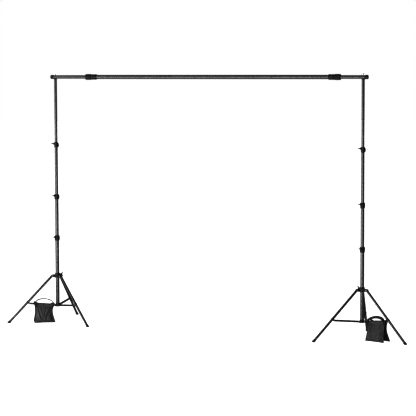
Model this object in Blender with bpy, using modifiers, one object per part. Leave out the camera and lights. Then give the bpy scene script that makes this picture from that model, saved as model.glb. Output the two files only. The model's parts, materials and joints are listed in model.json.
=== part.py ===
"""Background support system: two folding tripod stands, a telescoping crossbar
and a saddle sandbag on each stand.  Millimetres in the constants below; the
meshes are made in metres.  +X runs along the crossbar, +Z is up, the origin is
at the middle of the footprint, on the floor."""

import math

import bmesh
import bpy
import numpy as np
from mathutils import Matrix, Vector

MM = 0.001

# ---------------------------------------------------------------- dimensions
GAP = 0.3                    # running gap between neighbouring pieces
WALL = 1.2                   # tube wall

# column
COLUMN_HALF_SPACING = 1575.6
BAR_AXIS_Z = 2440.0
COLUMN_R = (18.5, 17.0, 15.5, 14.0)          # outer radii, bottom to top
BASE_BORE = COLUMN_R[0] + GAP                # hub cup and leg collar
LOCK_Z = (839.4, 1251.8, 1768.8)             # centres of the lock collars
LOCK_HEIGHT = 50.0
LOCK_R = (25.5, 23.5, 21.5)
LOCK_KNOB_RISE = 12.0                        # knob axis above collar centre
TUBE_2_REACH = 720.0                         # below its own lock collar
TUBE_3_REACH = 765.0
TUBE_4_LENGTH = 790.0

# tripod
HUB_BOTTOM_Z = 154.0
HUB_TOP_Z = 183.0
HUB_R = 23.2
HUB_PIVOT = (33.2, 168.0)                    # radius, height
COLLAR_PIVOT = (53.9, 462.0)
COLLAR_Z = (444.5, 489.5)
COLLAR_R = 24.5
LEG_R = 11.5
BAND_R = 13.0
LEG_ANGLE = 43.6                             # from vertical, set up
BRACKET_ALONG = 354.0                        # leg pivot to strut bracket
BRACKET_DROP = 20.7                          # strut pivot below the leg axis
FOOT_R = 14.0
STRUT_HALF_WIDTH = 8.0
STRUT_HALF_HEIGHT = 8.5
STRUT_WALL = 2.0
PIN_R = 2.5
PIN_HOLE_R = 2.9
LEG_AZIMUTHS = {"left": (212.5, 92.5, -27.5), "right": (220.2, 100.2, -19.8)}
LOCK_KNOB_AZIMUTHS = {"left": (251.0, 243.0, 208.0), "right": (254.0, 245.0, 230.0)}
COLLAR_KNOB_AZIMUTH = {"left": 33.1, "right": 160.2}

# crossbar, x positions
BAR_END = 1623.6
END_TUBE_R = 17.0
SECTION_R = 20.0
SECTION_WALL = 1.5
JOINT_X = (-327.5, 517.5)                    # joints between the three sections
LOCK_SPLIT_X = (-1183.0, 1299.6)             # twist ring | fixed base
RING_LENGTH = 61.0
RING_R = 28.0
BASE_LENGTH = 57.0
BASE_R = 26.0
END_TUBE_INSERT = 290.0                      # end tube inside its section
CAP_LENGTH = 30.0
CAP_R = 19.4
STUD_R = 4.7
STUD_TOP_Z = 2474.0

# sandbag, in its strut's frame: u along the strut, v across it, h above it
BAG_U = {"left": (-2.0, 206.0), "right": (42.0, 248.0)}
BAG_STRAP_RISE = {"left": 46.0, "right": 36.0}
BAG_WEB_INSET = 25.0
BAG_BOTTOM_Z = 2.0

COLUMN_SEGMENTS = 16

# ------------------------------------------------------------------ the scene
for old in list(bpy.data.objects):
    bpy.data.objects.remove(old, do_unlink=True)

PARTS = bpy.data.collections.new("background_support_system")
HELPERS = bpy.data.collections.new("construction")
bpy.context.scene.collection.children.link(PARTS)
bpy.context.scene.collection.children.link(HELPERS)
HELPERS.hide_render = True


def material(name, colour, roughness, metallic=0.0):
    made = bpy.data.materials.new(name)
    made.use_nodes = True
    shader = made.node_tree.nodes["Principled BSDF"]
    shader.inputs["Base Color"].default_value = (*colour, 1.0)
    shader.inputs["Roughness"].default_value = roughness
    shader.inputs["Metallic"].default_value = metallic
    return made


def black_tube(name):
    return material(name, (0.035, 0.035, 0.037), 0.38, 0.6)


def black_plastic(name):
    return material(name, (0.018, 0.018, 0.019), 0.5)


def black_casting(name):
    return material(name, (0.022, 0.022, 0.024), 0.45, 0.2)


# ------------------------------------------------------------ shape functions
def helper_object(mesh):
    obj = bpy.data.objects.new("shape", mesh)
    obj.hide_render = True
    obj.display_type = "WIRE"
    HELPERS.objects.link(obj)
    return obj


def from_bmesh(bm):
    mesh = bpy.data.meshes.new("shape")
    bmesh.ops.recalc_face_normals(bm, faces=bm.faces)
    bm.to_mesh(mesh)
    bm.free()
    return helper_object(mesh)


def baked(obj):
    """The object's evaluated shape as a plain mesh, with loose caps welded."""
    bpy.context.view_layer.update()
    graph = bpy.context.evaluated_depsgraph_get()
    mesh = bpy.data.meshes.new_from_object(obj.evaluated_get(graph))
    bm = bmesh.new()
    bm.from_mesh(mesh)
    bmesh.ops.remove_doubles(bm, verts=bm.verts, dist=1e-6)
    bmesh.ops.recalc_face_normals(bm, faces=bm.faces)
    bm.to_mesh(mesh)
    bm.free()
    made = helper_object(mesh)
    made.matrix_world = obj.matrix_world.copy()
    bpy.data.objects.remove(obj, do_unlink=True)
    return made


def turned(profile, segments=COLUMN_SEGMENTS, closed=False):
    """A turned piece about Z.  profile: (radius, height) down the outer side;
    a closed profile makes a ring."""
    mesh = bpy.data.meshes.new("profile")
    points = [(r * MM, 0.0, z * MM) for r, z in profile]
    count = len(points)
    edges = [(i, i + 1) for i in range(count - 1)]
    if closed:
        edges.append((count - 1, 0))
    mesh.from_pydata(points, edges, [])
    obj = helper_object(mesh)
    screw = obj.modifiers.new("turn", "SCREW")
    screw.axis = "Z"
    screw.angle = math.tau
    screw.steps = segments
    screw.render_steps = segments
    screw.use_merge_vertices = True
    screw.merge_threshold = 1e-6
    return baked(obj)


def tube(outer, inner, low, high, segments=COLUMN_SEGMENTS):
    return turned(
        [(outer, high), (outer, low), (inner, low), (inner, high)], segments, True
    )


def box(x0, x1, y0, y1, z0, z1, bevel=0.0):
    bm = bmesh.new()
    bmesh.ops.create_cube(bm, size=1.0)
    size = Vector((x1 - x0, y1 - y0, z1 - z0)) * MM
    mid = Vector((x0 + x1, y0 + y1, z0 + z1)) * MM / 2
    bmesh.ops.scale(bm, vec=size, verts=bm.verts)
    bmesh.ops.translate(bm, vec=mid, verts=bm.verts)
    if bevel:
        bmesh.ops.bevel(
            bm, geom=list(bm.edges), offset=bevel * MM, segments=1, affect="EDGES"
        )
    return from_bmesh(bm)


def rod(radius, start, end, segments=8, end_radius=None, twist=0.0):
    """A solid round bar between two points, or a cone with end_radius."""
    a, b = Vector(start) * MM, Vector(end) * MM
    bm = bmesh.new()
    bmesh.ops.create_cone(
        bm,
        cap_ends=True,
        segments=segments,
        radius1=radius * MM,
        radius2=(radius if end_radius is None else end_radius) * MM,
        depth=(b - a).length,
    )
    turn = (b - a).to_track_quat("Z", "Y").to_matrix().to_4x4()
    spin = Matrix.Rotation(twist, 4, "Z")
    bmesh.ops.transform(
        bm, matrix=Matrix.Translation((a + b) / 2) @ turn @ spin, verts=bm.verts
    )
    return from_bmesh(bm)


def boolean(target, others, operation):
    for other in others:
        cut = target.modifiers.new(operation.lower(), "BOOLEAN")
        cut.operation = operation
        cut.solver = "EXACT"
        cut.object = other
    made = baked(target)
    for other in others:
        bpy.data.objects.remove(other, do_unlink=True)
    return made


def joined(target, *others):
    return boolean(target, others, "UNION")


def cut_by(target, *others):
    return boolean(target, others, "DIFFERENCE")


def moved(obj, matrix):
    obj.data.transform(matrix)
    if matrix.determinant() < 0:
        obj.data.flip_normals()
    return obj


def mirrored(obj, axis):
    copy = helper_object(obj.data.copy())
    scale = [1.0, 1.0, 1.0]
    scale[axis] = -1.0
    return moved(copy, Matrix.Diagonal((*scale, 1.0)))


def placed(obj, name, look, parent, pivot=(0, 0, 0), azimuth=0.0):
    """Names the piece and moves its origin to its pivot.  The mesh and pivot
    are given in the frame that has +X along the azimuth."""
    point = Vector(pivot) * MM
    mesh = obj.data
    mesh.transform(Matrix.Translation(-point))
    mesh.name = name
    mesh.materials.clear()
    mesh.materials.append(look)
    mesh.shade_smooth()
    mesh.set_sharp_from_angle(angle=math.radians(32))
    turn = math.radians(azimuth)
    made = bpy.data.objects.new(name, mesh)
    PARTS.objects.link(made)
    made.parent = parent
    made.location = Matrix.Rotation(turn, 4, "Z") @ point
    made.rotation_euler = (0, 0, turn)
    bpy.data.objects.remove(obj, do_unlink=True)
    return made


def empty(name, parent, location=(0, 0, 0)):
    made = bpy.data.objects.new(name, None)
    made.empty_display_size = 0.1
    made.parent = parent
    made.location = Vector(location) * MM
    PARTS.objects.link(made)
    return made


# ------------------------------------------------------------- linkage points
ALPHA = math.radians(LEG_ANGLE)
ALONG = Vector((math.sin(ALPHA), 0, -math.cos(ALPHA)))       # down the leg
UNDER = Vector((-math.cos(ALPHA), 0, -math.sin(ALPHA)))      # below the leg
LEG_PIVOT = Vector((COLLAR_PIVOT[0], 0, COLLAR_PIVOT[1]))
STRUT_END = LEG_PIVOT + BRACKET_ALONG * ALONG + BRACKET_DROP * UNDER
STRUT_START = Vector((HUB_PIVOT[0], 0, HUB_PIVOT[1]))
STRUT_LENGTH = (STRUT_END - STRUT_START).length
BETA = math.atan2(STRUT_END.z - STRUT_START.z, STRUT_END.x - STRUT_START.x)
LEG_LENGTH = COLLAR_PIVOT[1] / math.cos(ALPHA)               # pivot to the floor
LEG_FRAME = Matrix(
    (
        (UNDER.x, 0, -ALONG.x, LEG_PIVOT.x * MM),
        (0, -1, 0, 0),
        (UNDER.z, 0, -ALONG.z, LEG_PIVOT.z * MM),
        (0, 0, 0, 1),
    )
)
STRUT_FRAME = Matrix.Translation(STRUT_START * MM) @ Matrix.Rotation(-BETA, 4, "Y")


def riveted_pair(at, inner, outer, head, radius):
    """Rivet heads on the outer faces of a pair of ears, on the axis v."""
    x, z = at
    return [
        rod(radius, (x, side * (outer - 0.4), z), (x, side * (outer + head), z), 8)
        for side in (-1, 1)
    ]


# ----------------------------------------------------------------- the stands
def hub():
    body = turned(
        [
            (0, HUB_BOTTOM_Z + 3), (BASE_BORE, HUB_BOTTOM_Z + 3), (BASE_BORE, HUB_TOP_Z),
            (21.6, HUB_TOP_Z), (HUB_R, HUB_TOP_Z - 2), (HUB_R, HUB_BOTTOM_Z + 2),
            (21.2, HUB_BOTTOM_Z), (0, HUB_BOTTOM_Z),
        ]
    )
    return body


def hub_with_ears(azimuths):
    body = hub()
    ears = []
    x, z = HUB_PIVOT
    for azimuth in azimuths:
        turn = Matrix.Rotation(math.radians(azimuth), 4, "Z")
        for side in (-1, 1):
            low, high = sorted((side * 8.5, side * 11.0))
            plate = box(20.9, x, low, high, z - 6.4, z + 6.4)
            nose = rod(6.4, (x, low, z), (x, high, z), 10)
            ears.append(moved(joined(plate, nose), turn))
            head_low, head_high = sorted((side * 10.6, side * 12.3))
            ears.append(moved(rod(4.0, (x, head_low, z), (x, head_high, z)), turn))
        ears.append(moved(rod(PIN_R, (x, -9.5, z), (x, 9.5, z)), turn))
    return joined(body, *ears)


def leg_collar(azimuths, knob_azimuth):
    low, high = COLLAR_Z
    body = turned(
        [
            (COLLAR_R - 1.5, high), (COLLAR_R, high - 2), (COLLAR_R, high - 12),
            (COLLAR_R + 2, high - 15), (COLLAR_R + 2, low + 2), (COLLAR_R, low),
            (BASE_BORE, low), (BASE_BORE, high),
        ],
        closed=True,
    )
    x, z = COLLAR_PIVOT
    pieces = []
    for azimuth in azimuths:
        turn = Matrix.Rotation(math.radians(azimuth), 4, "Z")
        for side in (-1, 1):
            inner, outer = sorted((side * 11.9, side * 14.7))
            plate = box(21.0, x, inner, outer, z - 8.5, z + 8.5)
            nose = rod(8.5, (x, inner, z), (x, outer, z), 10)
            pieces.append(moved(joined(plate, nose), turn))
        for head in riveted_pair((x, z), 11.9, 14.7, 1.6, 4.6):
            pieces.append(moved(head, turn))
    turn = Matrix.Rotation(math.radians(knob_azimuth), 4, "Z")
    rise = high - 11.5
    pieces.append(moved(rod(7.6, (21.0, 0, rise), (32.0, 0, rise), 12), turn))
    body = joined(body, *pieces)
    hole = moved(rod(3.4, (16.0, 0, rise), (34.0, 0, rise)), turn)
    return cut_by(body, hole), rise


def lock_collar(step, knob_azimuth):
    """Clamp casting on top of the lower tube, gripping the upper one."""
    centre = LOCK_Z[step]
    low, high = centre - LOCK_HEIGHT / 2, centre + LOCK_HEIGHT / 2
    lower_bore = COLUMN_R[step] + GAP
    upper_bore = COLUMN_R[step + 1] + GAP
    outer = LOCK_R[step]
    seat = centre - 4.0
    body = turned(
        [
            (outer - 2.5, high), (outer, high - 2.5), (outer, centre + 2),
            (outer - 1.5, centre), (outer - 1.5, low + 12), (outer - 3.0, low),
            (lower_bore, low), (lower_bore, seat), (upper_bore, seat),
            (upper_bore, high),
        ],
        closed=True,
    )
    rise = centre + LOCK_KNOB_RISE
    turn = Matrix.Rotation(math.radians(knob_azimuth), 4, "Z")
    boss = box(outer - 4.0, outer + 7.0, -9.0, 9.0, rise - 9.0, rise + 9.0)
    heel = box(-outer - 6.5, -outer + 4.0, -6.5, 6.5, centre - 19.0, centre + 15.0)
    body = joined(body, moved(boss, turn), moved(heel, turn))
    hole = moved(rod(3.4, (upper_bore - 2, 0, rise), (outer + 9, 0, rise)), turn)
    # the hole opens into the bore, so that the screw can press on the tube
    slot = moved(
        box(-outer - 9, -upper_bore + 2.0, -0.9, 0.9, centre + 1.0, high + 2.0), turn
    )
    return cut_by(body, hole, slot), rise, outer + 7.0


def clamp_knob(tip, face, rise, reach=20.0, half=15.5, upright=False):
    """Screw with a winged head, along +X, its shaft in the boss."""
    shaft = rod(3.0, (tip, 0, rise), (face + 6, 0, rise))
    collar = rod(7.0, (face + 0.4, 0, rise), (face + 5.0, 0, rise), 12, 5.6)
    bm = bmesh.new()
    bmesh.ops.create_cone(
        bm, cap_ends=True, segments=4, radius1=8.0 * MM * math.sqrt(2),
        radius2=half * MM * math.sqrt(2), depth=(reach - 4.0) * MM,
        matrix=Matrix.Rotation(math.pi / 4, 4, "Z"),
    )
    bmesh.ops.transform(
        bm,
        matrix=Matrix.Translation(((face + 4.0 + (reach - 4.0) / 2) * MM, 0, rise * MM))
        @ Matrix.Rotation(math.pi / 2, 4, "Y"),
        verts=bm.verts,
    )
    for vertex in bm.verts:
        if upright:
            vertex.co.y = math.copysign(3.6 * MM, vertex.co.y)
        else:
            vertex.co.z = rise * MM + math.copysign(3.2 * MM, vertex.co.z - rise * MM)
    return joined(shaft, collar, from_bmesh(bm))


def leg():
    """Along local -Z from the collar pivot, its underside towards +X."""
    body = tube(LEG_R, LEG_R - WALL, -LEG_LENGTH + 14.0, 9.0, 12)
    plug = turned(
        [(0, 10.2), (7.6, 10.2), (LEG_R - 0.6, 8.4), (LEG_R - 0.6, 2.0), (0, 2.0)], 12
    )
    z = -BRACKET_ALONG
    band = tube(BAND_R, LEG_R - 0.4, z - 10.0, z + 10.0, 12)
    lug = box(10.4, BRACKET_DROP, -5.3, 5.3, z - 6.5, z + 6.5)
    nose = rod(6.5, (BRACKET_DROP, -5.3, z), (BRACKET_DROP, 5.3, z), 10)
    body = joined(body, plug, band, joined(lug, nose))
    hole = rod(PIN_HOLE_R, (BRACKET_DROP, -8, z), (BRACKET_DROP, 8, z))
    return moved(cut_by(body, hole), LEG_FRAME)


def foot():
    """Rubber tip over the leg's end, its sole cut flat on the floor."""
    end = -LEG_LENGTH
    body = turned(
        [
            (0, end + 13.0), (LEG_R + GAP, end + 13.0), (LEG_R + GAP, end + 28.0),
            (LEG_R + 1.6, end + 28.0), (FOOT_R, end + 25.0), (FOOT_R + 0.6, end + 1.0),
            (FOOT_R - 2.5, end - 4.5), (0, end - 6.0),
        ],
        12,
    )
    body = moved(body, LEG_FRAME)
    reach = COLLAR_PIVOT[0] + COLLAR_PIVOT[1] * math.tan(ALPHA)
    ground = box(reach - 60, reach + 60, -60, 60, -60, 0)
    return cut_by(body, ground)


def strut():
    """U channel, open below, from the hub pin to the pin under the leg."""
    length, half, height = STRUT_LENGTH, STRUT_HALF_WIDTH, STRUT_HALF_HEIGHT
    wall = STRUT_WALL
    body = box(0, length, -half, half, -height, height)
    ends = [
        rod(height, (u, -half, 0), (u, half, 0), 10)
        for u in (0, length)
    ]
    body = joined(body, *ends)
    body = cut_by(
        body,
        box(-12, length + 12, -half + wall, half - wall, -height - 2, height - wall),
        box(-12, 11, -half + wall, half - wall, -height - 2, height + 2),
        box(length - 10.5, length + 12, -half + wall, half - wall, -height - 2, height + 2),
        rod(PIN_HOLE_R, (0, -half - 3, 0), (0, half + 3, 0)),
    )
    pin = rod(PIN_R, (length, -half + 0.6, 0), (length, half - 0.6, 0))
    heads = riveted_pair((length, 0), half, half, 1.4, 4.2)
    return moved(joined(body, pin, *heads), STRUT_FRAME)


def wing_nut():
    low = BAR_AXIS_Z + END_TUBE_R + GAP
    body = turned(
        [
            (6.2, low + 11.0), (8.8, low + 2.0), (9.4, low + 1.0), (9.4, low),
            (STUD_R + GAP, low), (STUD_R + GAP, low + 11.0),
        ],
        16,
        True,
    )
    wings = []
    for side in (-1, 1):
        wing = box(5.0, 11.5, -1.6, 1.6, low + 4.6, low + 17.5)
        lean = (
            Matrix.Translation((6.2 * MM, 0, (low + 2) * MM))
            @ Matrix.Rotation(math.radians(24), 4, "Y")
            @ Matrix.Translation((-6.2 * MM, 0, -(low + 2) * MM))
        )
        wing = moved(wing, lean)
        if side < 0:
            wing = moved(wing, Matrix.Rotation(math.pi, 4, "Z"))
        wings.append(wing)
    return joined(body, *wings)


def stud():
    seat = BAR_AXIS_Z - END_TUBE_R - GAP
    inner = COLUMN_R[3] - WALL - GAP
    return turned(
        [
            (0, STUD_TOP_Z), (STUD_R - 0.8, STUD_TOP_Z), (STUD_R, STUD_TOP_Z - 1.2),
            (STUD_R, seat), (15.0, seat), (16.5, seat - 1.2), (16.5, seat - 4.8),
            (COLUMN_R[3], seat - 6.0), (inner, seat - 6.0), (inner, seat - 34.0),
            (inner - 1.0, seat - 36.0), (0, seat - 36.0),
        ]
    )


def sandbag(side, parent, azimuth):
    """Two filled pouches joined by a web over the strut, and a carrying strap
    that leans out over the pouch nearer the viewer.
    Built with +X along the strut's azimuth, the swing axis on the strut."""
    slope = math.tan(BETA)
    start, end = BAG_U[side]
    front = 1 if side == "left" else -1

    def strut_z(u):
        return HUB_PIVOT[1] + u * slope

    pouches = []
    for face in (-1, 1):
        bm = bmesh.new()
        bmesh.ops.create_cube(bm, size=1.0)
        bmesh.ops.subdivide_edges(bm, edges=bm.edges, cuts=3, use_grid_fill=True)
        for vertex in bm.verts:
            u = vertex.co.x + 0.5            # 0 at the hub end, 1 outboard
            v = vertex.co.y + 0.5            # 0 inner face, 1 outer face
            w = vertex.co.z + 0.5            # 0 bottom, 1 top
            belly = math.sin(math.pi * min(1.0, max(0.0, w * 0.96 + 0.02)))
            corner = abs(2 * u - 1) ** 3
            edge = min(1.0, 4.0 * min(u, 1 - u))
            inner = 14.4 + 24.0 * (1 - w) + 4.0 * (1 - edge) * belly + 8.0 * corner * w ** 4
            thick = 8.0 + 30.0 * belly ** 0.7 * (0.35 + 0.65 * edge) + 12.0 * (1 - w)
            draw = 12.0 * belly               # sides pull in between corners
            along = start + draw + u * (end - start - 2 * draw)
            top = strut_z(along) + 10.6 + 9.0 * corner
            bottom = BAG_BOTTOM_Z + 4.0 * (1 - edge)
            vertex.co = Vector(
                (
                    (HUB_PIVOT[0] + along) * MM,
                    face * (inner + v * thick) * MM,
                    (bottom + w * (top - bottom)) * MM,
                )
            )
        pouches.append(from_bmesh(bm))
    web = box(
        start + BAG_WEB_INSET, end - BAG_WEB_INSET, -19.0, 19.0,
        STRUT_HALF_HEIGHT + 0.9, STRUT_HALF_HEIGHT + 3.2,
    )
    web = moved(web, STRUT_FRAME)
    curve = bpy.data.curves.new("strap", "CURVE")
    curve.dimensions = "3D"
    curve.fill_mode = "FULL"
    curve.bevel_depth = 1.8 * MM
    curve.bevel_resolution = 1
    curve.use_fill_caps = True
    line = curve.splines.new("POLY")
    count = 13
    line.points.add(count - 1)
    for i in range(count):
        t = i / (count - 1)
        arch = math.sin(math.pi * t) ** 0.6
        along = start + 12.0 + (end - start - 24.0) * t
        line.points[i].co = (
            (HUB_PIVOT[0] + along) * MM,
            front * (24.0 + 0.87 * BAG_STRAP_RISE[side] * arch) * MM,
            (strut_z(along) + 8.0 + BAG_STRAP_RISE[side] * arch) * MM,
            1.0,
        )
    strap = bpy.data.objects.new("strap", curve)
    HELPERS.objects.link(strap)
    strap = baked(strap)
    body = joined(pouches[0], pouches[1], web, strap)
    name = side + "_sandbag"
    look = material(name, (0.03, 0.03, 0.032), 0.85)
    return placed(body, name, look, parent, (HUB_PIVOT[0], 0, HUB_PIVOT[1]), azimuth)


def stand(side, parent):
    sign = -1 if side == "left" else 1
    base = empty(side + "_stand", parent, (sign * COLUMN_HALF_SPACING, 0, 0))
    azimuths = LEG_AZIMUTHS[side]
    name = side + "_"

    # telescoping column
    tops = [z - 4.0 - GAP for z in LOCK_Z] + [BAR_AXIS_Z - END_TUBE_R - GAP - 6.0 - GAP]
    bottoms = [
        HUB_BOTTOM_Z + 4.0,
        LOCK_Z[1] - TUBE_2_REACH,
        LOCK_Z[2] - TUBE_3_REACH,
        tops[3] - TUBE_4_LENGTH,
    ]
    for i, radius in enumerate(COLUMN_R):
        low, high = bottoms[i], tops[i]
        part = tube(radius, radius - WALL, low, high)
        label = name + ("base_tube" if i == 0 else f"tube_{i + 1}")
        placed(part, label, black_tube(label), base, (0, 0, low))
    for step in range(3):
        azimuth = LOCK_KNOB_AZIMUTHS[side][step]
        part, rise, face = lock_collar(step, azimuth)
        label = f"{name}lock_{step + 1}"
        placed(part, label, black_casting(label), base, (0, 0, LOCK_Z[step]))
        knob = clamp_knob(COLUMN_R[step + 1] + 0.4, face, rise)
        label = f"{name}lock_knob_{step + 1}"
        placed(knob, label, black_plastic(label), base, (face, 0, rise), azimuth)
    label = name + "stud"
    placed(stud(), label, material(label, (0.35, 0.35, 0.36), 0.35, 1.0), base,
           (0, 0, BAR_AXIS_Z))
    label = name + "wing_nut"
    placed(wing_nut(), label, material(label, (0.5, 0.5, 0.5), 0.4, 0.9), base,
           (0, 0, BAR_AXIS_Z + END_TUBE_R))

    # tripod
    label = name + "hub"
    placed(hub_with_ears(azimuths), label, black_casting(label), base,
           (0, 0, HUB_BOTTOM_Z))
    part, rise = leg_collar(azimuths, COLLAR_KNOB_AZIMUTH[side])
    label = name + "leg_collar"
    placed(part, label, black_casting(label), base, (0, 0, COLLAR_PIVOT[1]))
    knob = clamp_knob(COLUMN_R[0] + 0.4, 32.0, rise, 23.0, 20.0, True)
    label = name + "leg_collar_knob"
    placed(knob, label, black_plastic(label), base, (32.0, 0, rise),
           COLLAR_KNOB_AZIMUTH[side])
    for i, azimuth in enumerate(azimuths):
        pin = tuple(STRUT_END)
        label = f"{name}strut_{i + 1}"
        placed(strut(), label, black_tube(label), base,
               (HUB_PIVOT[0], 0, HUB_PIVOT[1]), azimuth)
        label = f"{name}leg_{i + 1}"
        placed(leg(), label, black_tube(label), base, pin, azimuth)
        label = f"{name}foot_{i + 1}"
        placed(foot(), label, material(label, (0.012, 0.012, 0.012), 0.8), base,
               pin, azimuth)
    loaded = 0 if side == "left" else 2
    sandbag(side, base, azimuths[loaded])


# --------------------------------------------------------------- the crossbar
LAY = Matrix.Rotation(math.pi / 2, 4, "Y")           # a turned piece's Z to +X


def along_bar(obj):
    """A piece turned about Z, laid along +X at the bar's height."""
    return moved(obj, Matrix.Translation((0, 0, BAR_AXIS_Z * MM)) @ LAY)


def crossbar(parent):
    bar = empty("crossbar", parent)
    z = BAR_AXIS_Z
    section_bore = SECTION_R - SECTION_WALL
    for side, sign, split in (("left", -1, LOCK_SPLIT_X[0]), ("right", 1, LOCK_SPLIT_X[1])):
        stud_x = sign * COLUMN_HALF_SPACING
        tip = sign * (BAR_END - CAP_LENGTH + 2.0 + 3.0)
        root = split - sign * END_TUBE_INSERT
        low, high = sorted((tip, root))
        part = along_bar(tube(END_TUBE_R, END_TUBE_R - WALL, low, high))
        hole = rod(STUD_R + 0.5, (stud_x, 0, z - 25), (stud_x, 0, z + 25), 16)
        part = cut_by(part, hole)
        label = f"crossbar_{side}_end"
        placed(part, label, black_tube(label), bar, (stud_x, 0, z))

        # cap pressed over the end
        face = BAR_END
        profile = [
            (0, face - 3.0), (END_TUBE_R + GAP, face - 3.0),
            (END_TUBE_R + GAP, face - CAP_LENGTH), (CAP_R, face - CAP_LENGTH),
            (CAP_R, face - 3.0), (CAP_R - 1.6, face), (0, face),
        ]
        cap = turned(profile[::-1])
        if sign < 0:
            cap = moved(cap, Matrix.Rotation(math.pi, 4, "X"))
        label = f"{side}_end_cap"
        placed(along_bar(cap), label, black_plastic(label), bar, (sign * face, 0, z))

        # twist ring, gripping the end tube just outboard of the section's end
        near, far = split + sign * GAP, split + sign * RING_LENGTH
        low, high = sorted((near, far))
        bore = END_TUBE_R + GAP
        chamfer = 3.0
        ring = turned(
            [
                (RING_R - chamfer, high), (RING_R, high - chamfer),
                (RING_R, low + chamfer), (RING_R - chamfer, low),
                (bore, low), (bore, high),
            ],
            closed=True,
        )
        flutes = []
        for k in range(8):
            angle = math.tau * k / 8
            centre = Vector((math.cos(angle), math.sin(angle))) * (RING_R + 2.2)
            flutes.append(
                rod(5.0, (centre.x, centre.y, low + 9), (centre.x, centre.y, high - 9), 6)
            )
        ring = cut_by(ring, *flutes)
        label = f"{side}_twist_ring"
        placed(along_bar(ring), label, black_plastic(label), bar, (split, 0, z))

    # three sections; the outer ones carry the fixed halves of the twist locks
    spans = (
        ("left", LOCK_SPLIT_X[0], JOINT_X[0]),
        ("middle", JOINT_X[0], JOINT_X[1]),
        ("right", JOINT_X[1], LOCK_SPLIT_X[1]),
    )
    for label, low, high in spans:
        low_gap = low + (GAP if label != "left" else 0)
        part = tube(SECTION_R, section_bore, low_gap, high)
        if label == "middle":
            plug = section_bore - GAP
            lug = 70.0
            ends = [
                tube(plug, plug - 2.2, low - lug, low + 22.0),
                tube(plug, plug - 2.2, high - 22.0, high + lug),
            ]
            # the plugs are swaged onto the section, whose bore they fill
            part = tube(SECTION_R, plug - 1.0, low_gap, high - GAP)
            part = joined(part, *ends)
        else:
            split = low if label == "left" else high
            inward = 1 if label == "left" else -1
            a, b = sorted((split, split + inward * BASE_LENGTH))
            taper = 5.0
            if inward > 0:
                rim = [(BASE_R - 4.0, b), (BASE_R, b - taper), (BASE_R, a + 1.0), (BASE_R - 1.0, a)]
            else:
                rim = [(BASE_R - 1.0, b), (BASE_R, b - 1.0), (BASE_R, a + taper), (BASE_R - 4.0, a)]
            base = turned(rim + [(SECTION_R - 0.6, a), (SECTION_R - 0.6, b)], closed=True)
            part = joined(part, base)
        name = f"crossbar_section_{label}"
        placed(along_bar(part), name, black_tube(name), bar, ((low + high) / 2, 0, z))


# ------------------------------------------------------------------- assembly
ROOT = empty("background_support", None)
stand("left", ROOT)
stand("right", ROOT)
crossbar(ROOT)

# the origin at the middle of the outline's box, on the floor
bpy.context.view_layer.update()
corners = np.array(
    [
        piece.matrix_world @ vertex.co
        for piece in PARTS.objects
        if piece.type == "MESH"
        for vertex in piece.data.vertices
    ]
)
middle = (corners.min(axis=0) + corners.max(axis=0)) / 2
ROOT.location = (-middle[0], -middle[1], -corners[:, 2].min())
bpy.context.view_layer.update()
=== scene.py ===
"""Looks of the background support system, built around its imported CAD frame.
Millimetres in the shape functions, metres in the meshes."""
import json
import math

import bmesh
import bpy
import numpy as np
from mathutils import Matrix, Vector, noise
from mathutils.bvhtree import BVHTree


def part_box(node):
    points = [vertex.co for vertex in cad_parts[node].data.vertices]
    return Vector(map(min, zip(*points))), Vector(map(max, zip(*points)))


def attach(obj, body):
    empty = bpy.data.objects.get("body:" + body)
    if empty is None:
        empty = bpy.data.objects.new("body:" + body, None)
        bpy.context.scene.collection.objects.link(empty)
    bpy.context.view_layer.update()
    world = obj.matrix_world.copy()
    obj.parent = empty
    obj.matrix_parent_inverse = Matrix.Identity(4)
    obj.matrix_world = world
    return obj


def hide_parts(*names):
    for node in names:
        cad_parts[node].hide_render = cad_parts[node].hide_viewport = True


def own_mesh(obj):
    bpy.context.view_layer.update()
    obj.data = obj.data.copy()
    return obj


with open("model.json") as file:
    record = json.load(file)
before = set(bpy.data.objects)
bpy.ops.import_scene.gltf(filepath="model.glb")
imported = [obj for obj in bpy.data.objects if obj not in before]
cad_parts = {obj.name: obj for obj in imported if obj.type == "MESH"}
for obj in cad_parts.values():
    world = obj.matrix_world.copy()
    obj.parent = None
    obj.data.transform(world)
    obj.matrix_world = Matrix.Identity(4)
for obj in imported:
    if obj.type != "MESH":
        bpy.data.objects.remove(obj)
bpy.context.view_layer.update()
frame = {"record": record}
RECORD = frame["record"]
BODY = {
    node: body
    for body, nodes in RECORD["behaviour"]["bodies"].items()
    for node in nodes
}
SLOT = {s["node"]: s["material_slot"] for s in RECORD["subparts"]}

MM = 0.001

# the studio
LEFT_WALL = Vector((-0.93, -0.37, 0.0))
WALL_FALL = 2.2
WALL_LIGHT = 3.4
DARK_LIGHT = 0.028
FLOOR_SEEN = 0.72
FLOOR_LIGHT = 0.30

# dimensions shared with the CAD, in millimetres
GAP = 0.3
WALL = 1.2
COLUMN_HALF_SPACING = 1575.6
BAR_AXIS_Z = 2440.0
COLUMN_R = (18.5, 17.0, 15.5, 14.0)
LOCK_Z = (839.4, 1251.8, 1768.8)
LOCK_R = (25.5, 23.5, 21.5)
LOCK_KNOB_RISE = 12.0
HUB_BOTTOM_Z, HUB_TOP_Z, HUB_R = 154.0, 183.0, 23.2
BASE_BORE = COLUMN_R[0] + GAP
HUB_PIVOT = (33.2, 168.0)
COLLAR_PIVOT = (53.9, 462.0)
COLLAR_Z = (444.5, 489.5)
COLLAR_R = 24.5
LEG_R = 11.5
BAND_R = 13.0
LEG_ANGLE = 43.6
BRACKET_ALONG = 354.0
BRACKET_DROP = 20.7
FOOT_R = 14.0
STRUT_HALF_WIDTH, STRUT_HALF_HEIGHT, STRUT_WALL = 8.0, 8.5, 2.0
PIN_R, PIN_HOLE_R = 2.5, 2.9
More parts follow.
